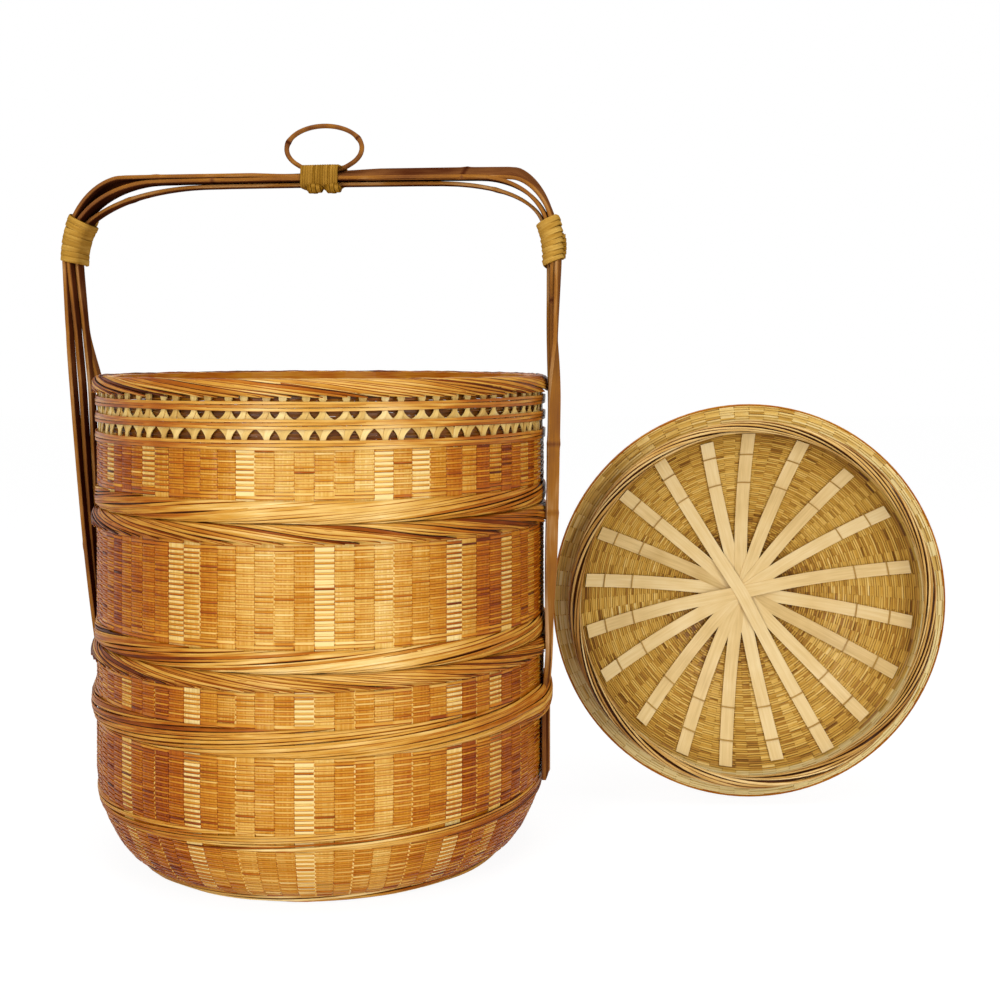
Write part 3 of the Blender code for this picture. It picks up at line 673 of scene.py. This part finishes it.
# Handle. Three split canes are bent over as one arch and tied into the bottom basket. They are
# narrow and lie side by side down the legs, fan apart above the rim, and widen from the lashings
# over the top, one on another. Their skin is dark and rubbed dull, their cut edges are paler.
HANDLE_TOP = 0.4415
SHOULDER_Z = 0.3840
STRIP_W, MIDDLE_STRIP_W, INNER_STRIP_W, TAIL_W = 0.0240, 0.0168, 0.0110, 0.0064
STRIP_T = 0.0026
LAYER_STEP, TOP_LAYER_STEP = 0.0029, 0.0033
LEG_FACE = 0.1498
REACH = {-1: 0.1785, 1: 0.1577}
BOW = {-1: 0.7, 1: 0.5}
FAN = {-1: 0.0035, 1: 0.0022}
STEADY_Z, FAN_Z, SPREAD_Z, LEG_FOOT_Z = 0.1070, 0.3000, 0.3350, 0.0474
LASHING_Z, LASHING_H = 0.3810, 0.0300
OUTER_RUN, PARTING = {-1: 0.0445, 1: 0.0340}, {-1: 0.4, 1: 0.9}
MIDDLE_RUN, INNER_RUN = {-1: 0.0660, 1: 0.0540}, {-1: 0.0980, 1: 0.0800}
turn = np.array(Matrix.Rotation(HANDLE_YAW, 3, "Z"))
handle_tones = (
    (0.0, "2A1006"), (0.25, "522812"), (0.45, "784A26"), (0.65, "925E24"), (0.85, "B48A5A"),
    (1.0, "D0AE84"),
)


def half_arch(sign, layers, tail, high, run=OUTER_RUN, wide=STRIP_W):
    """Points up one leg and over to the middle of the top, in the handle's own plane, and the
    strip's width at each. Its layer is the first of layers low down, the second higher up."""
    z = np.linspace(LEG_FOOT_Z, SHOULDER_Z, 70)[:-1]
    rise = np.clip((z - STEADY_Z) / (SHOULDER_Z - STEADY_Z), 0, 1)
    face = LEG_FACE + (REACH[sign] - LEG_FACE) * rise ** BOW[sign]
    step = np.interp(z, (STEADY_Z, FAN_Z, SPREAD_Z), (0, FAN[sign], LAYER_STEP))
    u = face - np.interp(z, (FAN_Z, SPREAD_Z), layers) * step - STRIP_T / 2
    climb = HANDLE_TOP - layers[1] * TOP_LAYER_STEP - STRIP_T / 2 - SHOULDER_Z
    held = math.asin((LASHING_Z + LASHING_H - SHOULDER_Z) / climb)
    angle = np.linspace(0, math.pi / 2, 30)
    free = np.clip((angle - held) / (math.pi / 2 - held), 0, 1)
    reach_in = OUTER_RUN[sign] + (run[sign] - OUTER_RUN[sign]) * free ** PARTING[sign]
    start = REACH[sign] - layers[1] * LAYER_STEP - STRIP_T / 2
    bend_u = start - reach_in * (1 - np.cos(angle))
    height = np.concatenate((z, SHOULDER_Z + climb * np.sin(angle)))
    across = np.interp(height, (SPREAD_Z, SHOULDER_Z), (tail, high))
    points = np.stack((np.concatenate((u, bend_u)) * sign, across, height), axis=-1)
    return points, np.interp(height, (0.14, 0.20, 0.32, SPREAD_Z, SHOULDER_Z),
                             (TAIL_W, TAIL_W * 1.3, TAIL_W * 1.3, TAIL_W * 1.2, wide))


class Bent:
    """A bent line, met by the share along it, with the direction and size of its width."""

    def __init__(self, points, side, widths=None, ease=0, twist=0.0):
        points = points.copy()
        for _ in range(ease):
            points[1:-1] = (points[:-2] + 2 * points[1:-1] + points[2:]) / 4
        self.points = points
        self.widths = widths
        self.at, ahead = paced(points)
        self.length = self.at[-1]
        out = np.cross(ahead, side)
        out = out / np.linalg.norm(out, axis=1)[:, None]
        side = np.cross(out, ahead)
        self.out = out * np.cos(twist) - side * np.sin(twist)
        self.side = side * np.cos(twist) + out * np.sin(twist)

    def read(self, table, along):
        return np.stack([np.interp(along, self.at, table[:, i]) for i in range(3)], axis=-1)

    def place(self, share, y, z):
        along = share * self.length
        place = self.read(self.points, along) + y[..., None] * self.read(self.side, along)
        return place + z[..., None] * self.read(self.out, along)


KNUCKLE, KNUCKLE_LINE, CANE_SOFT = 0.0022, 0.0009, 0.0005


def cane(name, way, width, thickness, cuts, finish, nodes, tone, soft, knuckles=(),
         place_tone=None):
    """One cane laid along a bent line. Its knuckles are slight swellings with a dark line."""

    def near(share, reach):
        return sum(np.exp(-(((share - at) * way.length / reach) ** 2)) for at in knuckles)

    def place(k, x, y, z):
        share = x + 0.5
        swell = near(share, KNUCKLE)
        wide = 1 + 0.08 * swell
        if way.widths is not None:
            wide = wide * np.interp(share * way.length, way.at, way.widths) / width
        drift = 0.05 * np.sin(share * 31) + 0.05 * np.sin(share * 83 + 1)
        points = way.place(share, y * wide, z * (1 + 0.22 * swell))
        # a shift in shade set by place along the cane
        if place_tone is not None:
            drift = drift + place_tone(points[..., 0], points[..., 2])
        return points @ turn.T, tone + drift - 0.3 * near(share, KNUCKLE_LINE) + 0 * z

    lay(name, splint(width, thickness, cuts, soft), 1, place, finish, "basket", nodes,
        (way.length, 1, 1))


def whole_arch(layer, tail, high, run=OUTER_RUN, wide=STRIP_W, turned=None):
    halves = [half_arch(sign, (layer, layer), tail, high, run, wide) for sign in (-1, 1)]
    points, widths = (np.concatenate((left, right[::-1])) for left, right in zip(*halves))
    twist = turned(points[:, 0], points[:, 2])[:, None] if turned else 0.0
    return Bent(points, (0, 1, 0), widths, ease=3, twist=twist)


def outer_twist(x, z):
    """The outer cane shows its skin along the top, at the right corner and down the right leg."""
    corner = np.interp(x, (-0.14, -0.09, 0.05, 0.128, 0.150), (0, 0.23, 0.25, 0.36, 0)) * (z > 0.41)
    return corner + (x > 0) * np.interp(z, (0.13, 0.185, 0.29, 0.33), (0, 1.05, 1.05, 0))


def tail_twist(x, z):
    """The middle cane turns a little to the front too, low down on the right leg."""
    return (x > 0) * np.interp(z, (0.14, 0.19, 0.262, 0.292), (0, 0.55, 0.55, 0))


# Darker below the waist band, low on the legs.
def foot_shade(x, z):
    return -0.16 * np.clip((0.10 - z) / 0.01, 0, 1)


def outer_shade(x, z):
    right_leg = (x > 0) * np.interp(z, (0.10, 0.15, 0.30, 0.34, 0.39), (0, 1, 1, 0.5, 0))
    return foot_shade(x, z) + 0.21 * right_leg - 0.04 * (z > 0.43)


def rubbed_cane(name, edge, paler=0.22):
    """Dark cane, rubbed dull, with paler edges, and its inside face painted darker as painted
    shade.
    """
    return bamboo(name, handle_tones, gloss=0.6, edge=edge, lining_shade=0.0009, mirror=0.0,
                  varnish=0.0, paler=paler)


dark_cane = rubbed_cane("dark_handle_cane", STRIP_W * 0.465, 0.24)
narrow_cane = rubbed_cane("narrow_handle_cane", INNER_STRIP_W * 0.42)
dark_middle_cane = rubbed_cane("dark_middle_cane", MIDDLE_STRIP_W * 0.455)
tan_cane = bamboo("tan_handle_cane", handle_tones, gloss=0.50, edge=TAIL_W * 0.40, mirror=0.0,
                  varnish=0.0, paler=0.20)
orange_tones = ((0.0, "3A1602"), (0.4, "8A4A0C"), (0.7, "B57628"), (1.0, "D8A866"))
orange_cane = bamboo("orange_handle_cane", orange_tones, gloss=0.45, edge=TAIL_W * 0.42, mirror=0.1,
                     varnish=0.1, paler=0.2)
cane("handle_outer_cane", whole_arch(0, -0.0102, 0, turned=outer_twist), STRIP_W, STRIP_T, 440,
     dark_cane, ("handle_outer_strip",), 0.40, CANE_SOFT,
     (0.135, 0.405, 0.596, 0.80, 0.842), outer_shade)
cane("handle_middle_cane", whole_arch(1, -0.0034, -0.0036, MIDDLE_RUN, MIDDLE_STRIP_W, tail_twist),
     MIDDLE_STRIP_W, STRIP_T, 440, dark_middle_cane, ("handle_middle_strip",), 0.36,
     CANE_SOFT, (0.05, 0.44, 0.71, 0.93), foot_shade)
cane("handle_inner_cane", whole_arch(2, 0.0034, 0, INNER_RUN, INNER_STRIP_W),
     INNER_STRIP_W, STRIP_T * 0.9, 440, narrow_cane, ("handle_inner_strip",), 0.46,
     CANE_SOFT, (0.16, 0.38, 0.62), foot_shade)
for side, sign, layer, tone, finish in (
    ("left", -1, 3, 0.46, tan_cane), ("right", 1, 1.5, 0.62, orange_cane),
):
    points, widths = half_arch(sign, (layer, 1), 0.0102, 0.0088, wide=TAIL_W)
    cane(side + "_leg_cane", Bent(points[:69], (0, -sign, 0), widths[:69], ease=2), TAIL_W, STRIP_T,
         180, finish, (side + "_leg_splint",), tone, CANE_SOFT, (0.34, 0.72),
         foot_shade)

# Lashings. Flat golden cane is wound eight times round the bundle at each shoulder. The wraps
# tilt as the bundle bends over, and overlap a little.
CANE_W = 0.0042
CANE_T = 0.0016
TURNS = 8
BUNDLE_HALF_V, BUNDLE_CORNER = 0.0137, 0.0064
cane_tones = (
    (0.0, "3A2404"), (0.25, "7A5414"), (0.5, "AA7E32"), (0.75, "C8A050"), (1.0, "E0C890"),
)
golden_cane = bamboo("golden_lashing_cane", cane_tones, gloss=0.48, fibre=0.22, seam_shadow=CANE_W * 0.42,
                     mirror=0.0, varnish=0.0)


def wrapped(half_u, half_v, corner, share):
    """Points round a rectangle with round corners, by the share of the way round."""
    flat_u, flat_v, arc = 2 * np.mean(half_u - corner), 2 * (half_v - corner), corner * math.pi / 2
    at = np.cumsum((0, flat_v, arc, flat_u, arc, flat_v, arc, flat_u, arc))
    along = (share % 1) * at[-1]
    across_u = np.interp(along, at, (1, 1, 1, -1, -1, -1, -1, 1, 1))
    across_v = np.interp(along, at, (-1, 1, 1, 1, 1, -1, -1, -1, -1))
    angle = np.interp(along, at, np.array((0, 0, 1, 1, 2, 2, 3, 3, 4)) * math.pi / 2)
    u = (half_u - corner) * across_u + corner * np.cos(angle)
    return u, (half_v - corner) * across_v + corner * np.sin(angle)


def reach_at(sign, layer, z):
    """How far out a layer of the handle stands."""
    arch = half_arch(sign, (layer, layer), 0, 0)[0]
    return np.interp(z, arch[:, 2], np.abs(arch[:, 0]))


def lashing(side, sign, tone, low, high, tilts):
    """Cane wound up a shoulder between two heights."""
    share = np.linspace(0, 1, TURNS * 56 + 1)
    z = low + share * (high - low)
    outer, inner = reach_at(sign, 0, z), reach_at(sign, 2, z)
    tilt = np.radians(tilts[0] + (tilts[1] - tilts[0]) * share)
    half_u = (outer - inner) / 2 + STRIP_T / 2 / np.cos(tilt) + CANE_T * 0.9
    u, v = wrapped(half_u, BUNDLE_HALF_V, BUNDLE_CORNER, share * TURNS + 0.4)
    slope = np.tan(tilt) + 0.06 * np.sin(share * TURNS * 2.1)
    points = np.stack((sign * ((outer + inner) / 2 + u), v, z + u * slope), axis=-1)
    axis = np.stack((-sign * np.sin(tilt), 0 * tilt, np.cos(tilt)), axis=-1) * sign
    cane(side + "_lashing_cane", Bent(points, axis), CANE_W, CANE_T, TURNS * 56, golden_cane,
         (side + "_lashing",), tone, CANE_SOFT)


lashing("left", -1, 0.52, 0.3836, 0.4122, (5, 27))
lashing("right", 1, 0.56, 0.3808, 0.4082, (17, 26))

# Knots. The right lashing ends in a small knot on its outer side. Two more sit under the middle
# of the top, where the centre binding is tied off.


def knot(node, turns, tone, shift, stretch):
    """A bead with turns of fine cane round it, sized from the plain knot that it replaces."""
    low, high = np.array(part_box(node))
    centre = (low @ turn + high @ turn) / 2 + np.array(shift)
    size = np.abs(high - low) * stretch
    bead = bmesh.new()
    bmesh.ops.create_uvsphere(bead, u_segments=24, v_segments=16, radius=0.46)

    def rounded(k, x, y, z):
        return (np.stack((x, y, z), axis=-1) * size + centre) @ turn.T, tone - 0.1 + 0 * x

    lay(node + "_bead", bead, 1, rounded, golden_cane, "basket", (node,),
        tuple(size))
    share = np.linspace(0, 1, turns * 24 + 1)
    roll = share * turns * math.tau
    height = (share - 0.5) * 0.7
    belly = np.sqrt(0.25 - height * height)
    long_way = 2 if size[2] > size[0] else 0
    points = np.zeros((len(share), 3)) + centre
    points[:, long_way] += height * size[long_way]
    for way, wave in zip([way for way in range(3) if way != long_way], (np.cos, np.sin)):
        points[:, way] += size[way] * belly * wave(roll)
    cane(node + "_cane", Bent(points, np.eye(3)[long_way]), size[long_way] / turns * 0.62, 0.0005,
         turns * 24, golden_cane, (), tone, 0.0002)


knot("right_lashing_knot", 5, 0.40, (-0.0044, 0, 0), (1, 1, 1.3))
knot("left_binding_knot", 3, 0.30, (0.0024, -0.0040, 0.0026), (1.15, 1, 1.25))
knot("right_binding_knot", 3, 0.30, (0.0036, -0.0040, 0.0026), (1.15, 1, 1.25))

# Centre binding. Fine round cane is wound close about the middle of the top, over the ends of
# the hanging ring.
BIND_L = 0.0250
BIND_TURNS, BIND_CORNER = 15, 0.0025
BIND_RISE = 0.25  # how steeply its underside rises behind the middle
BIND_Z, BIND_HALF_H, BIND_HALF_V = 0.43815, 0.00715, 0.0133
share = np.linspace(0, 1, BIND_TURNS * 36 + 1)
up, across = wrapped(BIND_HALF_H, BIND_HALF_V, BIND_CORNER, share * BIND_TURNS + 0.5)
up = up + BIND_RISE * np.clip(across, 0, None) * (up < 0)
bound = np.stack(((share - 0.5) * BIND_L, across, BIND_Z + up), axis=-1)
cane("centre_binding_cane", Bent(bound, (-1, 0, 0)), 0.00172, 0.0015, BIND_TURNS * 36, golden_cane,
     ("centre_binding",), 0.36, CANE_SOFT)

# Hanging ring. A thin cane bent to an oval loop. Its two ends lie along the top of the handle
# under the centre binding, which holds them.
RING_HALF_W, RING_HALF_H = 0.0257, 0.0150
RING_LOW = 0.4429
angle = np.radians(np.linspace(-52, 232, 90))
loop = np.stack((
    RING_HALF_W * np.cos(angle), 0 * angle, RING_LOW + RING_HALF_H * (1 + np.sin(angle)),
), axis=-1)
ends = np.array([[0.002, 0, RING_LOW], [0.0125, 0, RING_LOW]])
loop = np.concatenate((ends, loop, ends[::-1] * (-1, 1, 1)))
cane("hanging_ring_cane", Bent(loop, (0, -1, 0), ease=2), 0.0032, 0.0030, 220, tan_cane,
     ("hanging_ring",), 0.52, 0.0009, (0.3, 0.72))

# Lid. A shallow dome woven in rings, stood on its edge with its inside to the front. The rows
# pass over three and under one of the stakes that run from the middle to the brim. Its inside is
# pale, and its outside is varnished as the basket is.
LID_X, LID_Z, LID_MOUTH_Y = 0.2975, 0.1422, 0.0675
BRIM, DOME_H, DOME_R, LID_R = 0.0205, 0.0435, 0.1225, 0.1422
LID_CELLS = 80
LID_PITCH, LID_ROW_W = 0.00170, 0.00136
LID_STEPS = (0, 2, 1, 3)  # how the stake in four that is passed under shifts, row by row


def stood(points):
    """Turns the lid from its own frame, mouth down, to stand on its edge."""
    x, y, h = np.moveaxis(points, -1, 0)
    return np.stack((LID_X + x, LID_MOUTH_Y + h, LID_Z + y), axis=-1)


def dome_in(r):
    """The height of the dome's inside."""
    return BRIM + DOME_H * (1 - np.clip(r / DOME_R, 0, 1) ** 2.2)


lid_tones = (
    (0.0, "43200A"), (0.2, "744810"), (0.4, "A27228"), (0.6, "C5983E"), (0.8, "DCB660"),
    (1.0, "F0DA9A"),
)
lid_finish = bamboo("pale_lid_weave", lid_tones, gloss=0.5, seam_shadow=LID_PITCH * 0.22, varnish=0.1)


def painted_brim_light(course, along, angle):
    """Painted light and shade on the brim: paler at its foot and right, darker at its upper left.
    """
    brim = np.clip((course.radius(along) - 0.119) / 0.006, 0, 1)
    foot = 0.14 * np.clip(-np.sin(angle), 0, 1)
    return brim * (0.07 + 0.15 * np.cos(angle + 1.0) + foot)


def lid_skin(side, course, stake_share, finish, edge, nodes):
    """One face of the lid's weaving: its stakes, each a share of its place wide, and the rows that
    cross them. The edge is a shade for each radius, given as radii and shades."""
    stake_tone = 0.50 + chance.normal(0, 0.09, LID_CELLS)
    span = course.length - 0.0004

    def stake(k, x, y, z):
        along = 0.0002 + (x + 0.5) * span
        angle = (k + 0.5) * math.tau / LID_CELLS + y
        tone = stake_tone[k] + np.interp(course.radius(along), *edge)
        # painted light and shade on the brim
        tone = tone + painted_brim_light(course, along, angle)
        return stood(course.place(angle, along, STAKE_OUT + z)), tone

    lay("lid_" + side + "_stakes", splint(stake_share * math.tau / LID_CELLS, STAKE_T, 44),
        LID_CELLS, stake, finish, "lid", nodes, (span, 0.01, 1))
    rows = np.arange(round(course.length / LID_PITCH))[:, None]
    middle = (rows + 0.5) * course.length / len(rows)
    row_r = course.radius(middle)
    rows, middle = rows[row_r[:, 0] > 0.010], middle[row_r[:, 0] > 0.010]
    count = len(rows)
    first = chance.integers(0, LID_CELLS, (count, 1)) + LID_CELLS
    row_tone = 0.60 + np.interp(course.radius(middle), *edge) + chance.normal(0, 0.05, (count, 1))
    dash = chance.normal(0, 0.035, (count, LID_CELLS))
    dash -= 0.26 * (chance.random((count, LID_CELLS)) < 0.11)

    def row(k, x, y, z):
        number, k = k, k[:, 0]
        at, angle = crossing(x, first[k], LID_CELLS)
        under = (at + np.array(LID_STEPS)[rows[k] % 4]) % 4 == 0
        out = np.where(under, UNDER, OVER) + z + x * SPIRAL
        along = np.clip(middle[k] + y * LID_ROW_W, 0, course.length)
        # the stretch behind a stake is drawn darker: painted shade in the recess
        tone = row_tone[k] + dash[number, at] - 0.06 * under + painted_brim_light(course, along, angle)
        return stood(course.place(angle, along, out)), tone

    lay("lid_" + side + "_weavers", splint(1, WEAVER_T, 2 * LID_CELLS + 3), count, row, finish,
        "lid", (), (0.6, LID_ROW_W, 1))


dome_line = [(r, float(dome_in(r))) for r in np.linspace(0.003, DOME_R, 40)]
lid_inside = Course(*dome_line, (0.1290, BRIM + 0.0002), (LID_R - 0.0006, BRIM + 0.0006))
lid_outside = Course(
    (LID_R - 0.0006, 0.0232), (0.1410, 0.0256), (0.1365, 0.0317), (0.1280, 0.0377),
    (0.1180, 0.0437), (0.1050, 0.0502), (0.0896, 0.0562), (0.0710, 0.0608), (0.0498, 0.0639),
    (0.0250, 0.0658), (0.0030, 0.0665),
)
# Inside, the weave is drawn darker towards the middle, and darker in a ring just inside the collar,
# a painted shadow of it. The brim beyond is drawn paler.
inner_edge = (
    (0.03, 0.06, 0.095, 0.118, 0.123, 0.126, 0.142), (-0.26, 0.03, 0.09, -0.04, -0.12, 0.30, 0.30),
)
outer_edge = ((0.0, 0.138, 0.142), (-0.06, -0.06, -0.2))
lid_skin("inner", lid_inside, 0.94, lid_finish, inner_edge, ("lid_shell",))
lid_skin("outer", lid_outside, 1.02, stake_finish, outer_edge, ())
core("lid_edge", "lid", (), (0.1408, 0.0212), (0.1418, 0.0204), (LID_R, 0.0212), (LID_R, 0.0232),
     (0.1414, 0.0242), (0.1404, 0.0234), stand=stood, finish=hoop_finish)

# Lid's crossed splints. Ten flat pale splints cross inside the dome, one on another, and end
# square beside the collar. Two rings of fine cane stitch them down to the weaving.
ARM_W = 0.0094
ARM_T = 0.0008
ARMS = 10
arm_ends = (
    (90.2, 261.8), (71.2, 246.2), (51.9, 228.5), (32.8, 207.6), (11.8, 191.1), (-7.7, 173.0),
    (-26.5, 155.6), (-45.4, 139.9), (-62.2, 122.8), (-79.9, 105.0),
)
arm_layer = (4, 5, 6, 7, 8, 0, 1, 2, 9, 3)
arm_reach = chance.uniform(0.1175, 0.1225, (ARMS, 1))
arm_tones = ((0.0, "8C6A34"), (0.3, "BC9A5C"), (0.6, "DDBF84"), (1.0, "F2DEAE"))
arm_finish = bamboo("straw_lid_splints", arm_tones, gloss=0.5)
arm_shade = chance.normal(0.60, 0.06, (ARMS, 1))


def arms(k, x, y, z):
    k = k[:, 0]
    ends = np.radians(np.array(arm_ends))[k]
    near, far = ends[:, :1], ends[:, 1:] - math.pi
    s = x * 2 * arm_reach[k]
    angle = far + (near - far) * eased(np.clip(s / 0.03 + 0.5, 0, 1))
    layer = np.array(arm_layer)[k][:, None]
    r = np.hypot(s, y)
    lift = 0.0007 + 0.00065 * layer * np.exp(-((s / 0.036) ** 2))
    height = dome_in(r) - lift - z - 0.0006
    px = s * np.cos(angle) - y * np.sin(angle)
    py = s * np.sin(angle) + y * np.cos(angle)
    return stood(np.stack((px, py, height), axis=-1)), arm_shade[k] + 0 * x


lay("lid_arms", splint(ARM_W, ARM_T, 60), ARMS, arms, arm_finish, "lid",
    ("lid_splints",), (0.24, 1, 1))
stitch_radii = np.array((0.0835, 0.1050))


def stitches(k, x, y, z):
    r = stitch_radii[k]
    angle = x * math.tau
    arms_at = np.radians(np.array(arm_ends).ravel())
    away = np.abs(angle_to(angle[..., None], arms_at)).min(-1) * r
    over = np.clip((ARM_W / 2 + 0.0012 - away) / 0.0010, 0, 1)
    height = dome_in(r + y) - 0.0022 * over + 0.0012 * (1 - over) - z
    return stood(around(angle, r + y, height)), 0.22 + 0 * x


lay("lid_stitches", splint(0.0009, 0.0006, 720), 2, stitches,
    bamboo("olive_stitching", straw_tones), "lid", (), (0.6, 1, 1))

# Lid's collar and its border. The collar drops inside the top rim. Its wall is four rows of wide
# splints, and long splints are rolled over its mouth.
COLLAR_R, COLLAR_LOW, COLLAR_PITCH = 0.1283, 0.0088, 0.0032


def collar(k, x, y, z):
    angle = x * (math.tau + 0.2) + k * 1.7
    up = COLLAR_LOW + k * COLLAR_PITCH + y
    r = COLLAR_R + z + 0.0005 * np.sign(np.sin(angle * 16 + k * math.pi))
    return stood(around(angle, r, up)), 0.34 + 0.1 * np.sin(angle * 9 + k * 2)


lay("lid_collar_splints", splint(0.0029, 0.0009, 400), 4, collar, lid_finish, "lid",
    ("lid_collar",), (0.82, 1, 1))
mouth_course = Course(
    (0.1258, 0.0088), (0.1234, 0.0076), (0.1224, 0.0050), (0.1228, 0.0022), (0.1243, 0.0005),
    (0.1266, 0.0), (0.1289, 0.0005), (0.1305, 0.0022), (0.1309, 0.0050), (0.1302, 0.0078),
)
mouth_tones = (
    (0.0, "2E1204"), (0.25, "744414"), (0.45, "A87734"), (0.65, "C49850"), (0.85, "DBB878"),
    (1.0, "EFD6A0"),
)
mouth_finish = bamboo("lid_mouth_splints", mouth_tones, gloss=0.40, fibre=0.28, seam_shadow=LONG_W * 0.34)
core("lid_mouth_core", "lid", ("lid_border",), (0.1246, 0.0084), (0.1240, 0.0045),
     (0.1250, 0.0022), (0.1266, 0.0014), (0.1284, 0.0022), (0.1293, 0.0045), (0.1288, 0.0084),
     stand=stood)
long_splints("lid_mouth_splints", mouth_course, 30, math.radians(105), "lid", width=0.0017,
             finish=mouth_finish, tint=0.22, painted_light=0.10, stand=stood, dark=0.05, lift=0.0005)

# Studio. A pale floor under soft lamps, with the camera level and straight ahead, as the
# photograph was taken.
scene = bpy.context.scene
floor_bm = bmesh.new()
bmesh.ops.create_grid(floor_bm, x_segments=1, y_segments=1, size=6)
floor_mesh = bpy.data.meshes.new("studio_floor")
floor_bm.to_mesh(floor_mesh)
floor_bm.free()
floor = bpy.data.objects.new("studio_floor", floor_mesh)
floor.location.z = -0.0003
scene.collection.objects.link(floor)
white = bpy.data.materials.new("studio_white")
white.use_nodes = True
matt = white.node_tree.nodes["Principled BSDF"]
matt.inputs["Base Color"].default_value = paint("F4F4F4")
matt.inputs["Roughness"].default_value = 0.9
glow = Shade(matt.outputs[0])


def plainly_seen(start):
    """1 where the camera sees it, straight, mirrored or through glass, and 0 where it lights."""
    rays = ("Is Camera Ray", "Is Glossy Ray", "Is Transmission Ray")
    return sum((start.node("LightPath", {}, {}, ray) for ray in rays), start.math("ADD", 0.0))


bright = glow.node("Emission", {}, {"Color": (1, 1, 1, 1), "Strength": 1.08})
both = glow.node("MixShader", {}, {0: plainly_seen(glow) * 0.85, 1: glow, 2: bright})
white.node_tree.links.new(both.socket, white.node_tree.nodes["Material Output"].inputs["Surface"])
floor_mesh.materials.append(white)

world = bpy.data.worlds.new("studio")
scene.world = world
world.use_nodes = True
backdrop = world.node_tree.nodes["Background"]
backdrop.inputs["Color"].default_value = (1, 1, 1, 1)
level = plainly_seen(Shade(backdrop.outputs[0])) * 0.48 + 0.52
world.node_tree.links.new(level.socket, backdrop.inputs["Strength"])


def lamp(name, place, aim, size, power):
    light = bpy.data.lights.new(name, "AREA")
    light.shape = "RECTANGLE"
    light.size, light.size_y = size
    light.energy = power
    holder = bpy.data.objects.new(name, light)
    holder.location = place
    towards = Matrix.Translation(aim).translation - holder.location
    holder.rotation_euler = towards.to_track_quat("-Z", "Y").to_euler()
    scene.collection.objects.link(holder)


lamp("left_softbox", (-0.48, -1.25, 0.55), (0.05, 0, 0.2), (0.35, 1.0), 8)
lamp("right_softbox", (0.95, -1.25, 0.55), (0.05, 0, 0.2), (0.35, 1.0), 7.2)
lamp("top_softbox", (0.1, -0.2, 1.5), (0.1, 0, 0.2), (1.2, 0.9), 8)

camera = bpy.data.objects.new("camera", bpy.data.cameras.new("camera"))
camera.data.lens = 54.1
camera.data.sensor_width = 36
camera.data.shift_y = -0.154
camera.data.clip_start = 0.05
camera.location = (0.117, -1.0, 0.3265)
camera.rotation_euler = (math.radians(90), 0, 0)
scene.collection.objects.link(camera)
scene.camera = camera
scene.view_settings.view_transform = "Standard"
